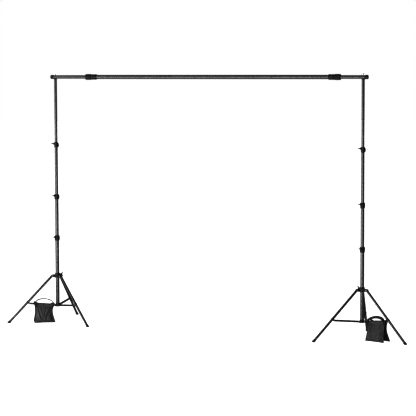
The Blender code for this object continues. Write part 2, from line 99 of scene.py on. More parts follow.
LEG_AZIMUTHS = {"left": (212.5, 92.5, -27.5), "right": (220.2, 100.2, -19.8)}
LOCK_KNOB_AZIMUTHS = {"left": (251.0, 243.0, 208.0), "right": (254.0, 245.0, 230.0)}
COLLAR_KNOB_AZIMUTH = {"left": 33.1, "right": 160.2}
BAR_END = 1623.6
END_TUBE_R = 17.0
SECTION_R = 20.0
SECTION_WALL = 1.5
JOINT_X = (-327.5, 517.5)
LOCK_SPLIT_X = (-1183.0, 1299.6)
RING_LENGTH, RING_R = 61.0, 28.0
BASE_LENGTH, BASE_R = 57.0, 26.0
END_TUBE_INSERT = 290.0
CAP_LENGTH, CAP_R = 30.0, 19.4
STUD_R = 4.7
STUD_TOP_Z = 2474.0
TUBE_2_REACH, TUBE_3_REACH, TUBE_4_LENGTH = 720.0, 765.0, 790.0
BAG_U = {"left": (-2.0, 206.0), "right": (42.0, 248.0)}
BAG_STRAP_RISE = {"left": 46.0, "right": 36.0}
BAG_WEB_INSET = 25.0
BAG_BOTTOM_Z = 2.0

# where the CAD's construction frame lies in the row frame
_lo, _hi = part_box("left_base_tube")
OFFSET = Vector(((_lo.x + _hi.x) / 2 + COLUMN_HALF_SPACING * MM, (_lo.y + _hi.y) / 2, 0.0))


# ============================================================ camera and stage
def camera():
    data = bpy.data.cameras.new("camera")
    data.lens = 145.69
    data.sensor_width = 36.0
    data.sensor_fit = "HORIZONTAL"
    data.clip_end = 200.0
    cam = bpy.data.objects.new("camera", data)
    bpy.context.scene.collection.objects.link(cam)
    cam.matrix_world = (
        Matrix.Translation(Vector((5.8638, -15.0177, 2.5705)) + OFFSET)
        @ Matrix.Rotation(math.radians(21.2016), 4, "Z")
        @ Matrix.Rotation(math.radians(90 - 4.9140), 4, "X")
        @ Matrix.Rotation(math.radians(-0.1694), 4, "Z")
    )
    bpy.context.scene.camera = cam


def area_light(name, place, target, size, power, colour=(1, 1, 1)):
    data = bpy.data.lights.new(name, "AREA")
    data.shape = "RECTANGLE"
    data.size, data.size_y = size
    data.energy = power
    data.color = colour
    light = bpy.data.objects.new(name, data)
    light.visible_camera = False
    bpy.context.scene.collection.objects.link(light)
    light.location = place
    light.rotation_euler = (Vector(target) - Vector(place)).to_track_quat("-Z", "Y").to_euler()
    return light


def _math(tree, kind, a, b=None, clamp=False):
    made = tree.nodes.new("ShaderNodeMath")
    made.operation = kind
    made.use_clamp = clamp
    for socket, value in zip(made.inputs, (a, b)):
        if value is None:
            continue
        if isinstance(value, (int, float)):
            socket.default_value = value
        else:
            tree.links.new(value, socket)
    return made.outputs[0]


def stage_and_light():
    scene = bpy.context.scene
    scene.view_settings.view_transform = "Standard"
    scene.view_settings.look = "None"
    scene.view_settings.gamma = 0.62

    # white studio: pale walls to the left and low down, darker to the right
    # and overhead
    world = bpy.data.worlds.new("studio")
    scene.world = world
    world.use_nodes = True
    tree = world.node_tree
    nodes, links = tree.nodes, tree.links
    nodes.clear()
    out = nodes.new("ShaderNodeOutputWorld")
    mix = nodes.new("ShaderNodeMixShader")
    path = nodes.new("ShaderNodeLightPath")
    seen = nodes.new("ShaderNodeBackground")
    seen.inputs["Color"].default_value = (1, 1, 1, 1)
    seen.inputs["Strength"].default_value = 1.0
    fill = nodes.new("ShaderNodeBackground")
    fill.inputs["Color"].default_value = (1, 1, 1, 1)
    coords = nodes.new("ShaderNodeTexCoord")
    split = nodes.new("ShaderNodeSeparateXYZ")
    links.new(coords.outputs["Generated"], split.inputs[0])
    east = _math(tree, "MULTIPLY", split.outputs["X"], LEFT_WALL.x / 2)
    north = _math(tree, "MULTIPLY", split.outputs["Y"], LEFT_WALL.y / 2)
    toward = _math(tree, "ADD", _math(tree, "ADD", east, north), 0.5)
    side = _math(tree, "POWER", _math(tree, "MAXIMUM", toward, 0.0), WALL_FALL)
    low = nodes.new("ShaderNodeMapRange")
    low.interpolation_type = "SMOOTHSTEP"
    low.inputs["From Min"].default_value = 0.05
    low.inputs["From Max"].default_value = 0.62
    low.inputs["To Min"].default_value = 1.0
    low.inputs["To Max"].default_value = 0.06
    links.new(split.outputs["Z"], low.inputs["Value"])
    strength = _math(tree, "MULTIPLY", _math(tree, "MULTIPLY", side, low.outputs[0]), WALL_LIGHT)
    links.new(_math(tree, "ADD", strength, DARK_LIGHT), fill.inputs["Strength"])
    links.new(path.outputs["Is Camera Ray"], mix.inputs["Fac"])
    links.new(fill.outputs[0], mix.inputs[1])
    links.new(seen.outputs[0], mix.inputs[2])
    links.new(mix.outputs[0], out.inputs["Surface"])

    # pale floor
    bm = bmesh.new()
    bmesh.ops.create_circle(bm, cap_ends=True, segments=96, radius=60.0)
    mesh = bpy.data.meshes.new("floor")
    bm.to_mesh(mesh)
    bm.free()
    floor = bpy.data.objects.new("floor", mesh)
    scene.collection.objects.link(floor)
    floor.location.z = -0.0006
    paint = bpy.data.materials.new("floor_paint")
    paint.use_nodes = True
    tree = paint.node_tree
    shader = tree.nodes["Principled BSDF"]
    shader.inputs["Base Color"].default_value = (0.80, 0.80, 0.80, 1)
    shader.inputs["Roughness"].default_value = 0.9
    shader.inputs["Specular IOR Level"].default_value = 0.1
    shader.inputs["Emission Color"].default_value = (1, 1, 1, 1)
    path = tree.nodes.new("ShaderNodeLightPath")
    glow = _math(tree, "ADD", _math(tree, "MULTIPLY", path.outputs["Is Camera Ray"], FLOOR_SEEN), FLOOR_LIGHT)
    tree.links.new(glow, shader.inputs["Emission Strength"])
    mesh.materials.append(paint)

    middle = Vector((0.0, 0.0, 1.2))
    area_light("key_left", (-6.5, -6.0, 1.9), middle, (4.5, 3.4), 620)
    area_light("front_low", (-0.4, -6.0, 0.25), middle + Vector((0, 0, 0.9)), (8.0, 1.6), 1240)


# ================================================================== materials
_looks = {}


def _node(tree, kind, **values):
    made = tree.nodes.new(kind)
    for key, value in values.items():
        setattr(made, key, value)
    return made


def _noise(tree, vector, scale, detail=2.0, rough=0.5):
    made = _node(tree, "ShaderNodeTexNoise")
    made.inputs["Scale"].default_value = scale
    made.inputs["Detail"].default_value = detail
    made.inputs["Roughness"].default_value = rough
    tree.links.new(vector, made.inputs["Vector"])
    return made.outputs["Fac"]


def _mapped(tree, vector, scale):
    made = _node(tree, "ShaderNodeMapping")
    made.inputs["Scale"].default_value = scale
    tree.links.new(vector, made.inputs["Vector"])
    return made.outputs["Vector"]


def _range(tree, value, low, high, start=0.0, end=1.0):
    made = _node(tree, "ShaderNodeMapRange")
    made.inputs["From Min"].default_value = start
    made.inputs["From Max"].default_value = end
    made.inputs["To Min"].default_value = low
    made.inputs["To Max"].default_value = high
    tree.links.new(value, made.inputs["Value"])
    return made.outputs["Result"]


def _colours(tree, value, low, high, start=0.3, end=0.7):
    made = _node(tree, "ShaderNodeValToRGB")
    made.color_ramp.elements[0].position = start
    made.color_ramp.elements[0].color = (*low, 1)
    made.color_ramp.elements[1].position = end
    made.color_ramp.elements[1].color = (*high, 1)
    tree.links.new(value, made.inputs["Fac"])
    return made.outputs["Color"]


def _bump(tree, value, strength, distance, normal=None):
    made = _node(tree, "ShaderNodeBump")
    made.inputs["Strength"].default_value = strength
    made.inputs["Distance"].default_value = distance
    tree.links.new(value, made.inputs["Height"])
    if normal is not None:
        tree.links.new(normal, made.inputs["Normal"])
    return made.outputs["Normal"]


def look(name):
    """A procedural material, made once."""
    if name in _looks:
        return _looks[name]
    made = bpy.data.materials.new(name)
    made.use_nodes = True
    tree = made.node_tree
    shader = tree.nodes["Principled BSDF"]
    coords = _node(tree, "ShaderNodeTexCoord").outputs["Object"]

    def put(socket, value):
        if isinstance(value, (int, float)):
            shader.inputs[socket].default_value = value
        else:
            tree.links.new(value, shader.inputs[socket])

    if name in ("tube_black", "bar_black", "leg_black", "strut_black"):
        shade = {"tube_black": 0.0185, "bar_black": 0.027, "leg_black": 0.010, "strut_black": 0.005}[name]
        dark = (0.90 * shade, 0.90 * shade, 0.94 * shade)
        pale = (1.1 * shade, 1.1 * shade, 1.16 * shade)
        cloud = _noise(tree, coords, 9.0, 3.0)
        # fine lengthwise draw marks of the tube and the grain of its coating
        along = (5.0, 700.0, 700.0) if name == "bar_black" else (700.0, 700.0, 5.0)
        marks = _noise(tree, _mapped(tree, coords, along), 1.0, 2.0, 0.5)
        grain = _noise(tree, coords, 1500.0, 2.0)
        put("Base Color", _colours(tree, cloud, dark, pale))
        put("Roughness", _range(tree, marks, 0.37, 0.41))
        put("Metallic", 0.2)
        put("Specular IOR Level", 0.2 if name == "strut_black" else 0.5)
        put("Normal", _bump(tree, marks, 0.02, 0.00005, _bump(tree, grain, 0.02, 0.00005)))
    elif name in ("casting_black", "knob_black"):
        cloud = _noise(tree, coords, 60.0, 3.0)
        cells = _node(tree, "ShaderNodeTexVoronoi")
        cells.inputs["Scale"].default_value = 1100.0 if name == "casting_black" else 1600.0
        tree.links.new(coords, cells.inputs["Vector"])
        grain = _noise(tree, coords, 2200.0, 2.0)
        # edges rubbed a little paler
        rubbed = _colours(
            tree, _node(tree, "ShaderNodeNewGeometry").outputs["Pointiness"],
            (0.0, 0.0, 0.0), (0.009, 0.009, 0.0095), 0.53, 0.62,
        )
        base = _colours(tree, cloud, (0.0035, 0.0035, 0.0038), (0.0060, 0.0060, 0.0064))
        both = _node(tree, "ShaderNodeMix", data_type="RGBA", blend_type="ADD")
        both.inputs["Factor"].default_value = 1.0
        tree.links.new(base, both.inputs["A"])
        tree.links.new(rubbed, both.inputs["B"])
        put("Base Color", both.outputs["Result"])
        put("Roughness", _range(tree, grain, 0.46, 0.60))
        put("Specular IOR Level", 0.22)
        put("Normal", _bump(tree, cells.outputs["Distance"], 0.10, 0.0001, _bump(tree, grain, 0.05, 0.00005)))
    elif name == "rubber_black":
        cloud = _noise(tree, coords, 90.0, 4.0)
        grain = _noise(tree, coords, 1800.0, 3.0)
        put("Base Color", _colours(tree, cloud, (0.006, 0.006, 0.006), (0.014, 0.0135, 0.013)))
        put("Roughness", _range(tree, grain, 0.68, 0.9))
        put("Specular IOR Level", 0.3)
        put("Normal", _bump(tree, grain, 0.15, 0.0001))
    elif name in ("nut_grey", "stud_steel", "rivet_steel"):
        tone = {"nut_grey": 0.40, "stud_steel": 0.75, "rivet_steel": 0.22}[name]
        cloud = _noise(tree, coords, 250.0, 4.0)
        grain = _noise(tree, _mapped(tree, coords, (1.0, 1.0, 12.0)), 700.0, 3.0)
        put("Base Color", _colours(tree, cloud, (tone * 0.85,) * 3, (tone, tone, tone * 1.02)))
        put("Roughness", _range(tree, grain, 0.34, 0.52))
        put("Metallic", 0.55)
        put("Normal", _bump(tree, grain, 0.08, 0.0002))
    elif name in ("bag_fabric", "bag_fabric_painted_shade", "bag_webbing"):
        # plain weave from the piece's own flat (u, v) map, in metres
        uv = _node(tree, "ShaderNodeUVMap", uv_map="cloth").outputs["UV"]
        pitch = 0.0021 if name == "bag_webbing" else 0.0011
        waves = []
        for k, direction in enumerate(("X", "Y")):
            wave = _node(tree, "ShaderNodeTexWave", wave_type="BANDS", bands_direction=direction)
            wave.inputs["Scale"].default_value = 1.0 / (pitch * 3.1831)
            wave.inputs["Distortion"].default_value = 0.6
            wave.inputs["Detail"].default_value = 1.0
            wave.inputs["Detail Scale"].default_value = 2.0
            tree.links.new(uv, wave.inputs["Vector"])
            waves.append(wave.outputs["Fac"])
        weave = _node(tree, "ShaderNodeMath", operation="MULTIPLY")
        tree.links.new(waves[0], weave.inputs[0])
        tree.links.new(waves[1], weave.inputs[1])
        cloud = _noise(tree, coords, 22.0, 5.0)
        slub = _noise(tree, _mapped(tree, coords, (60.0, 60.0, 900.0)), 1.0, 2.0)
        # the second fabric is the same cloth painted darker, with less sheen and specular: painted shade standing in
        # for the dimmer light on the right bag
        thin, thick = {
            "bag_fabric": (0.0185, 0.0325), "bag_fabric_painted_shade": (0.0122, 0.0212), "bag_webbing": (0.0035, 0.0060),
        }[name]
        base = _colours(tree, cloud, (thin, thin, 1.05 * thin), (thick, thick, 1.05 * thick))
        darker = _node(tree, "ShaderNodeMix", data_type="RGBA", blend_type="MULTIPLY")
        darker.inputs["Factor"].default_value = 0.55
        tree.links.new(base, darker.inputs["A"])
        tree.links.new(_colours(tree, weave.outputs[0], (0.35,) * 3, (1.0,) * 3, 0.05, 0.6), darker.inputs["B"])
        put("Base Color", darker.outputs["Result"])
        put("Roughness", _range(tree, slub, 0.62, 0.85))
        put("Sheen Weight", {"bag_fabric": 0.12, "bag_fabric_painted_shade": 0.09, "bag_webbing": 0.02}[name])
        put("Specular IOR Level", {"bag_fabric": 0.5, "bag_fabric_painted_shade": 0.42, "bag_webbing": 0.2}[name])
        put("Sheen Roughness", 0.5)
        put("Normal", _bump(tree, weave.outputs[0], 0.45, 0.0004, _bump(tree, slub, 0.1, 0.0003)))
    elif name == "bag_thread":
        twist = _noise(tree, coords, 2200.0, 2.0)
        put("Base Color", _colours(tree, twist, (0.020, 0.020, 0.021), (0.060, 0.060, 0.063)))
        put("Roughness", 0.7)
        put("Normal", _bump(tree, twist, 0.3, 0.0003))
    _looks[name] = made
    return made


# ============================================================ shape functions
def to_object(bm, name="shape"):
    bmesh.ops.recalc_face_normals(bm, faces=bm.faces)
    mesh = bpy.data.meshes.new(name)
    bm.to_mesh(mesh)
    bm.free()
    obj = bpy.data.objects.new(name, mesh)
    bpy.context.scene.collection.objects.link(obj)
    return obj


def drop(*objects):
    for obj in objects:
        bpy.data.objects.remove(obj, do_unlink=True)


def baked(obj):
    bpy.context.view_layer.update()
    graph = bpy.context.evaluated_depsgraph_get()
    mesh = bpy.data.meshes.new_from_object(obj.evaluated_get(graph))
    made = bpy.data.objects.new(obj.name, mesh)
    bpy.context.scene.collection.objects.link(made)
    made.matrix_world = obj.matrix_world.copy()
    drop(obj)
    return made


def rounded(profile, closed):
    """Fillets a (radius, height[, fillet]) outline's corners."""
    points = []
    count = len(profile)
    for i, corner in enumerate(profile):
        fillet = corner[2] if len(corner) > 2 else 0.0
        here = Vector((corner[0], corner[1]))
        if fillet <= 0 or (not closed and i in (0, count - 1)):
            points.append(here)
            continue
        before = Vector(profile[i - 1][:2])
        after = Vector(profile[(i + 1) % count][:2])
        a, b = (before - here), (after - here)
        reach = min(fillet, a.length * 0.49, b.length * 0.49)
        start, end = here + a.normalized() * reach, here + b.normalized() * reach
        for k in range(5):
            t = k / 4
            points.append(start * (1 - t) ** 2 + here * 2 * t * (1 - t) + end * t * t)
    return points


def lathe(profile, segments=48, closed=False, shape=None):
    """A turned solid about Z.  shape(angle, r, z) may change the radius."""
    points = rounded(profile, closed)
    bm = bmesh.new()
    rings = []
    for point in points:
        r, z = point
        if r <= 1e-6:
            rings.append([bm.verts.new((0, 0, z * MM))])
            continue
        ring = []
        for k in range(segments):
            angle = math.tau * k / segments
            radius = r if shape is None else shape(angle, r, z)
            ring.append(
                bm.verts.new((math.cos(angle) * radius * MM, math.sin(angle) * radius * MM, z * MM))
            )
        rings.append(ring)
    pairs = list(zip(rings, rings[1:]))
    if closed:
        pairs.append((rings[-1], rings[0]))
    for a, b in pairs:
        if len(a) == 1 and len(b) == 1:
            continue
        for k in range(segments):
            n = (k + 1) % segments
            if len(a) == 1:
                bm.faces.new((a[0], b[k], b[n]))
            elif len(b) == 1:
                bm.faces.new((a[k], b[0], a[n]))
            else:
                bm.faces.new((a[k], b[k], b[n], a[n]))
    return to_object(bm)


def tube(outer, inner, low, high, segments=64, lip=0.35):
    return lathe(
        [(outer, high, lip), (outer, low, lip), (inner, low, lip), (inner, high, lip)],
        segments,
        True,
    )


def box(x0, x1, y0, y1, z0, z1, bevel=0.6, steps=2):
    bm = bmesh.new()
    bmesh.ops.create_cube(bm, size=1.0)
    size = Vector((abs(x1 - x0), abs(y1 - y0), abs(z1 - z0))) * MM
    mid = Vector((x0 + x1, y0 + y1, z0 + z1)) * MM / 2
    bmesh.ops.scale(bm, vec=size, verts=bm.verts)
    bmesh.ops.translate(bm, vec=mid, verts=bm.verts)
    if bevel:
        bmesh.ops.bevel(bm, geom=list(bm.edges), offset=bevel * MM, segments=steps, affect="EDGES", profile=0.5)
    return to_object(bm)


def aligned(obj, start, end):
    """Lays a piece made along +Z from 0 between two points."""
    a, b = Vector(start), Vector(end)
    turn = (b - a).to_track_quat("Z", "Y").to_matrix().to_4x4()
    obj.data.transform(Matrix.Translation(a * MM) @ turn)
    return obj


def rod(radius, start, end, segments=28, lip=0.3, end_radius=None):
    length = (Vector(end) - Vector(start)).length
    top = radius if end_radius is None else end_radius
    profile = [(0, length), (top, length, lip), (radius, 0, lip), (0, 0)]
    return aligned(lathe(profile, segments), start, end)


def dome(radius, start, end, segments=24):
    """A rivet or button head whose round side is at the end."""
    length = (Vector(end) - Vector(start)).length
    steps = 6
    profile = [(0, length)]
    for k in range(1, steps + 1):
        angle = math.pi / 2 * k / steps
        profile.append((radius * math.sin(angle), length * (0.35 + 0.65 * math.cos(angle))))
    profile += [(radius, 0), (0, 0)]
    return aligned(lathe(profile, segments), start, end)


def hex_head(radius, start, end, washer=1.0):
    """A hexagon nut with a chamfered face."""
    length = (Vector(end) - Vector(start)).length
    bm = bmesh.new()
    bmesh.ops.create_cone(bm, cap_ends=True, segments=6, radius1=radius * MM, radius2=radius * MM, depth=length * MM)
    bmesh.ops.translate(bm, vec=(0, 0, length * MM / 2), verts=bm.verts)
    bmesh.ops.bevel(bm, geom=list(bm.edges), offset=0.35 * MM, segments=2, affect="EDGES")
    nut = to_object(bm)
    if washer:
        ring = lathe([(radius + 1.4, 0.9, 0.2), (radius + 1.4, 0.0), (0, 0.0), (0, 0.9)][::1], 28)
        nut = merged(nut, ring)
    return aligned(nut, start, end)


def plate(outline, low, high, bevel=0.5, steps=2):
    """A flat outline in X and Z, from y low to high, with rounded edges."""
    bm = bmesh.new()
    front = [bm.verts.new((x * MM, low * MM, z * MM)) for x, z in outline]
    face = bm.faces.new(front)
    made = bmesh.ops.extrude_face_region(bm, geom=[face])
    moved_verts = [v for v in made["geom"] if isinstance(v, bmesh.types.BMVert)]
    bmesh.ops.translate(bm, vec=(0, (high - low) * MM, 0), verts=moved_verts)
    if bevel:
        rim = [e for e in bm.edges if abs(e.verts[0].co.y - e.verts[1].co.y) < 1e-7]
        bmesh.ops.bevel(bm, geom=rim, offset=bevel * MM, segments=steps, affect="EDGES", profile=0.5)
    return to_object(bm)


def stadium(x0, x1, radius, nose_start=True, nose_end=True, steps=12, z=0.0):
    """Outline of a bar with round ends, about the line z."""
    points = []
    if nose_end:
        points += [
            (x1 + radius * math.cos(a), z + radius * math.sin(a))
            for a in np.linspace(-math.pi / 2, math.pi / 2, steps)
        ]
    else:
        points += [(x1, z - radius), (x1, z + radius)]
    if nose_start:
        points += [
            (x0 + radius * math.cos(a), z + radius * math.sin(a))
            for a in np.linspace(math.pi / 2, 3 * math.pi / 2, steps)
        ]
    else:
        points += [(x0, z + radius), (x0, z - radius)]
    return points


def boolean(target, others, operation):
    for other in others:
        cut = target.modifiers.new(operation.lower(), "BOOLEAN")
        cut.operation = operation
        cut.solver = "EXACT"
        cut.object = other
    made = baked(target)
    drop(*others)
    bm = bmesh.new()
    bm.from_mesh(made.data)
    bmesh.ops.remove_doubles(bm, verts=bm.verts, dist=2e-7)
    bm.to_mesh(made.data)
    bm.free()
    return made


def union(target, *others):
    return boolean(target, others, "UNION")


def minus(target, *others):
    return boolean(target, others, "DIFFERENCE")


def merged(*objects):
    """Several shapes as one mesh of loose shells."""
    bm = bmesh.new()
    for obj in objects:
        bm.from_mesh(obj.data)
    drop(*objects)
    return to_object(bm)


def moved(obj, matrix):
    obj.data.transform(matrix)
    if matrix.determinant() < 0:
        obj.data.flip_normals()
    return obj


def turned_to(azimuth):
    return Matrix.Rotation(math.radians(azimuth), 4, "Z")


def copy_of(obj):
    made = bpy.data.objects.new(obj.name, obj.data.copy())
    bpy.context.scene.collection.objects.link(made)
    return made


_used = set()


def show(obj, name, node, base=Matrix.Identity(4), finish=None, replace=True, sharp=34.0):
    """Puts a piece in its place, on its node's body, with its finish."""
    obj.data.name = name
    obj.name = name
    mesh = obj.data
    mesh.materials.clear()
    mesh.materials.append(look(finish or SLOT[node]))
    if sharp is not None:
        mesh.shade_smooth()
        mesh.set_sharp_from_angle(angle=math.radians(sharp))
    obj.matrix_world = Matrix.Translation(OFFSET) @ base
    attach(obj, BODY[node])
    if replace:
        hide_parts(node)
    _used.add(name)
    return obj


# ============================================================= linkage points
ALPHA = math.radians(LEG_ANGLE)
ALONG = Vector((math.sin(ALPHA), 0, -math.cos(ALPHA)))
UNDER = Vector((-math.cos(ALPHA), 0, -math.sin(ALPHA)))
LEG_PIVOT = Vector((COLLAR_PIVOT[0], 0, COLLAR_PIVOT[1]))
STRUT_END = LEG_PIVOT + BRACKET_ALONG * ALONG + BRACKET_DROP * UNDER
STRUT_START = Vector((HUB_PIVOT[0], 0, HUB_PIVOT[1]))
STRUT_LENGTH = (STRUT_END - STRUT_START).length
BETA = math.atan2(STRUT_END.z - STRUT_START.z, STRUT_END.x - STRUT_START.x)
LEG_LENGTH = COLLAR_PIVOT[1] / math.cos(ALPHA)
LEG_FRAME = Matrix(
    (
        (UNDER.x, 0, -ALONG.x, LEG_PIVOT.x * MM),
        (0, -1, 0, 0),
        (UNDER.z, 0, -ALONG.z, LEG_PIVOT.z * MM),
        (0, 0, 0, 1),
    )
)
STRUT_FRAME = Matrix.Translation(STRUT_START * MM) @ Matrix.Rotation(-BETA, 4, "Y")


# ================================================================= the stands
def make_hub(side, base, azimuths):
    body = lathe(
        [
            (0, HUB_BOTTOM_Z + 3), (BASE_BORE, HUB_BOTTOM_Z + 3, 0.4), (BASE_BORE, HUB_TOP_Z, 0.6),
            (21.7, HUB_TOP_Z, 1.2), (HUB_R, HUB_TOP_Z - 3.0, 1.2), (HUB_R, HUB_TOP_Z - 7, 0.5),
            (HUB_R - 1.1, HUB_TOP_Z - 8, 0.4), (HUB_R - 1.1, HUB_BOTTOM_Z + 9, 0.4),
            (HUB_R, HUB_BOTTOM_Z + 8, 0.5), (HUB_R, HUB_BOTTOM_Z + 2.2, 1.5),
            (21.1, HUB_BOTTOM_Z, 1.0), (6.0, HUB_BOTTOM_Z, 0.4), (5.2, HUB_BOTTOM_Z + 1.1, 0.4),
            (0, HUB_BOTTOM_Z + 1.1),
        ],
        64,
    )
    x, z = HUB_PIVOT
    parts, rivets = [], []
    for azimuth in azimuths:
        turn = turned_to(azimuth)
        for sgn in (-1, 1):
            low, high = sorted((sgn * 8.5, sgn * 11.0))
            ear = plate(stadium(20.4, x, 6.4, nose_start=False), low, high, 0.7)
            web = plate([(20.6, z - 14.2), (25.5, z - 13.6), (32.0, z - 6.0), (20.6, z - 5.0)], low + 0.3, high - 0.3, 0.4)
            parts.append(moved(moved(ear, Matrix.Translation((0, 0, z * MM))), turn))
            parts.append(moved(web, turn))
            rivets.append(moved(dome(4.0, (x, sgn * 10.9, z), (x, sgn * 12.4, z)), turn))
        rivets.append(moved(rod(PIN_R, (x, -9.5, z), (x, 9.5, z), 20), turn))
    body = union(body, *parts)
    show(body, f"{side}_hub_casting", f"{side}_hub", base)
    show(merged(*rivets), f"{side}_hub_rivets", f"{side}_hub", base, "rivet_steel", False)


def make_leg_collar(side, base, azimuths, knob_azimuth):
    low, high = COLLAR_Z
    body = lathe(
        [
            (COLLAR_R - 1.0, high, 1.2), (COLLAR_R, high - 3.5, 1.0), (COLLAR_R, high - 12, 0.8),
            (COLLAR_R + 2, high - 15, 0.8), (COLLAR_R + 2, low + 2.5, 1.6), (COLLAR_R, low, 0.8),
            (BASE_BORE, low, 0.6), (BASE_BORE, high, 0.6),
        ],
        64,
        True,
    )
    x, z = COLLAR_PIVOT
    parts, rivets = [], []
    for azimuth in azimuths:
        turn = turned_to(azimuth)
        for sgn in (-1, 1):
            inner, outer = sorted((sgn * 11.9, sgn * 14.7))
            ear = plate(
                [(20.5, -13.5), (33.0, -13.5)]
                + [(x + 10.4 * math.cos(a), 10.4 * math.sin(a)) for a in np.linspace(-1.35, 1.35, 15)]
                + [(33.0, 13.0), (20.5, 13.0)],
                inner, outer, 0.9,
            )
            rib = plate([(21.0, z - 16.8), (25.5, z - 16.8), (36.0, z - 11.0), (21.0, z - 8.0)], inner + 0.4, outer - 0.4, 0.4)
            parts.append(moved(moved(ear, Matrix.Translation((0, 0, z * MM))), turn))
            parts.append(moved(rib, turn))
            rivets.append(moved(dome(4.6, (x, sgn * 14.6, z), (x, sgn * 16.3, z)), turn))
    rise = high - 11.5
    turn = turned_to(knob_azimuth)
    parts.append(moved(rod(7.6, (21.0, 0, rise), (32.0, 0, rise), 40, 0.9), turn))
    body = union(body, *parts)
    body = minus(body, moved(rod(3.4, (16.0, 0, rise), (34.0, 0, rise), 24), turn))
    show(body, f"{side}_leg_collar_casting", f"{side}_leg_collar", base)
    show(merged(*rivets), f"{side}_leg_collar_rivets", f"{side}_leg_collar", base, "rivet_steel", False)
    make_knob(f"{side}_leg_collar_knob", base, COLUMN_R[0] + 0.4, 32.0, rise, knob_azimuth, True)


def smooth_outline(points, steps=5):
    """Closed Catmull-Rom curve through the points."""
    out = []
    count = len(points)
    for i in range(count):
        p0, p1, p2, p3 = (Vector(points[(i + k - 1) % count]) for k in range(4))
        for s in range(steps):
            t = s / steps
            out.append(
                tuple(
                    0.5
                    * (
                        2 * p1
                        + (p2 - p0) * t
                        + (2 * p0 - 5 * p1 + 4 * p2 - p3) * t * t
                        + (3 * p1 - p0 - 3 * p2 + p3) * t ** 3
                    )
                )
            )
    return out


def make_knob(node, base, tip, face, rise, azimuth, upright=False):
    """Winged clamp knob: moulded head on a steel screw."""
    turn = turned_to(azimuth)
    f = face
    if upright:
        half = [
            (f + 3.2, 0.0), (f + 3.4, 6.6), (f + 6.6, 10.5), (f + 12.5, 16.4), (f + 18.6, 19.7),
            (f + 22.4, 18.4), (f + 22.2, 14.0), (f + 18.2, 8.0), (f + 16.4, 0.0),
        ]
    else:
        half = [
            (f + 3.2, 0.0), (f + 3.4, 6.2), (f + 7.0, 8.6), (f + 12.5, 12.6), (f + 17.0, 15.2),
            (f + 19.6, 14.2), (f + 19.2, 10.6), (f + 15.6, 5.6), (f + 14.2, 0.0),
        ]
    outline = half + [(x, -y) for x, y in half[-2:0:-1]]
    wing = plate(smooth_outline(outline, 4), -3.4 if upright else -3.1, 3.4 if upright else 3.1, 1.3, 3)
    # the outline lies in X and Z: lay it flat where the wings spread along Y
    if not upright:
        wing = moved(wing, Matrix.Rotation(math.pi / 2, 4, "X"))
    wing = moved(wing, Matrix.Translation((0, 0, rise * MM)))
    boss = aligned(
        lathe([(0, 15.5), (3.6, 15.5, 1.2), (4.6, 9.0, 1.0), (6.2, 4.4, 1.0), (7.0, 3.2, 0.6), (7.0, 0, 0.5), (0, 0)], 40),
        (f + 0.4, 0, rise),
        (f + 16.0, 0, rise),
    )
    head = union(boss, wing)
    show(moved(head, turn), node + "_head", node, base, "knob_black")
    pitch = 1.2
    reach = f + 2.0 - tip
    profile = [(0, reach), (2.7, reach)]
    z = reach - 0.4
    while z > 1.2:
        profile += [(3.0, z), (2.62, z - pitch / 2)]
        z -= pitch
    profile += [(2.4, 0.5), (1.9, 0.0), (0, 0.0)]
    screw = aligned(lathe(profile, 20), (tip, 0, rise), (tip + 1, 0, rise))
    show(moved(screw, turn), node + "_screw", node, base, "stud_steel", False)


def make_lock(side, step, base, azimuth):
    centre = LOCK_Z[step]
    low, high = centre - 25.0, centre + 25.0
    lower_bore, upper_bore = COLUMN_R[step] + GAP, COLUMN_R[step + 1] + GAP
    outer = LOCK_R[step]
    seat = centre - 4.0
    body = lathe(
        [
            (outer - 2.0, high, 1.4), (outer, high - 3.0, 1.2), (outer, centre + 2, 0.8),
            (outer - 1.5, centre + 0.4, 0.6), (outer - 1.5, centre - 2.0, 0.3),
            (outer - 2.1, centre - 2.6, 0.3), (outer - 2.1, centre - 4.2, 0.3),
            (outer - 1.5, centre - 4.8, 0.3), (outer - 1.5, centre - 7.0, 0.3),
            (outer - 2.1, centre - 7.6, 0.3), (outer - 2.1, centre - 9.2, 0.3),
            (outer - 1.5, centre - 9.8, 0.3), (outer - 1.5, low + 12, 0.6),
            (outer - 3.0, low + 0.5, 1.0), (outer - 3.6, low, 0.4),
            (lower_bore, low, 0.4), (lower_bore, seat), (upper_bore, seat),
            (upper_bore, high, 0.4),
        ],
        64,
        True,
    )
    rise = centre + LOCK_KNOB_RISE
    turn = turned_to(azimuth)
    boss = box(outer - 4.0, outer + 7.0, -9.0, 9.0, rise - 9.0, rise + 9.0, 2.0, 3)
    heel = box(-outer - 6.5, -outer + 4.0, -6.5, 6.5, centre - 19.0, centre + 15.0, 1.8, 3)
    body = union(body, moved(boss, turn), moved(heel, turn))
    hole = moved(rod(3.4, (upper_bore - 2, 0, rise), (outer + 9, 0, rise), 24), turn)
    slit = moved(box(-outer - 9, -upper_bore + 2.0, -0.9, 0.9, centre + 1.0, high + 2.0, 0), turn)
    body = minus(body, hole, slit)
    node = f"{side}_lock_{step + 1}"
    show(body, node + "_casting", node, base)
    # cross screw and nut that draw the slit heel together
    at = -outer - 1.8
    nut = hex_head(3.4, (at, 6.4, centre + 8.0), (at, 8.6, centre + 8.0), 0)
    head = dome(3.4, (at, -6.4, centre + 8.0), (at, -8.8, centre + 8.0))
    show(moved(merged(nut, head), turn), node + "_cross_screw", node, base, "rivet_steel", False)
    # bushing lip at the mouth, round the upper tube
    lip = lathe(
        [(upper_bore + 2.0, high + 1.3, 0.5), (upper_bore + 2.2, high - 1.5),
         (upper_bore - 0.05, high - 1.5), (upper_bore - 0.05, high + 1.3, 0.4)], 48, True)
    show(lip, node + "_bushing", node, base, "knob_black", False)
    make_knob(f"{side}_lock_knob_{step + 1}", base, COLUMN_R[step + 1] + 0.4, outer + 7.0, rise, azimuth)


_shared = {}


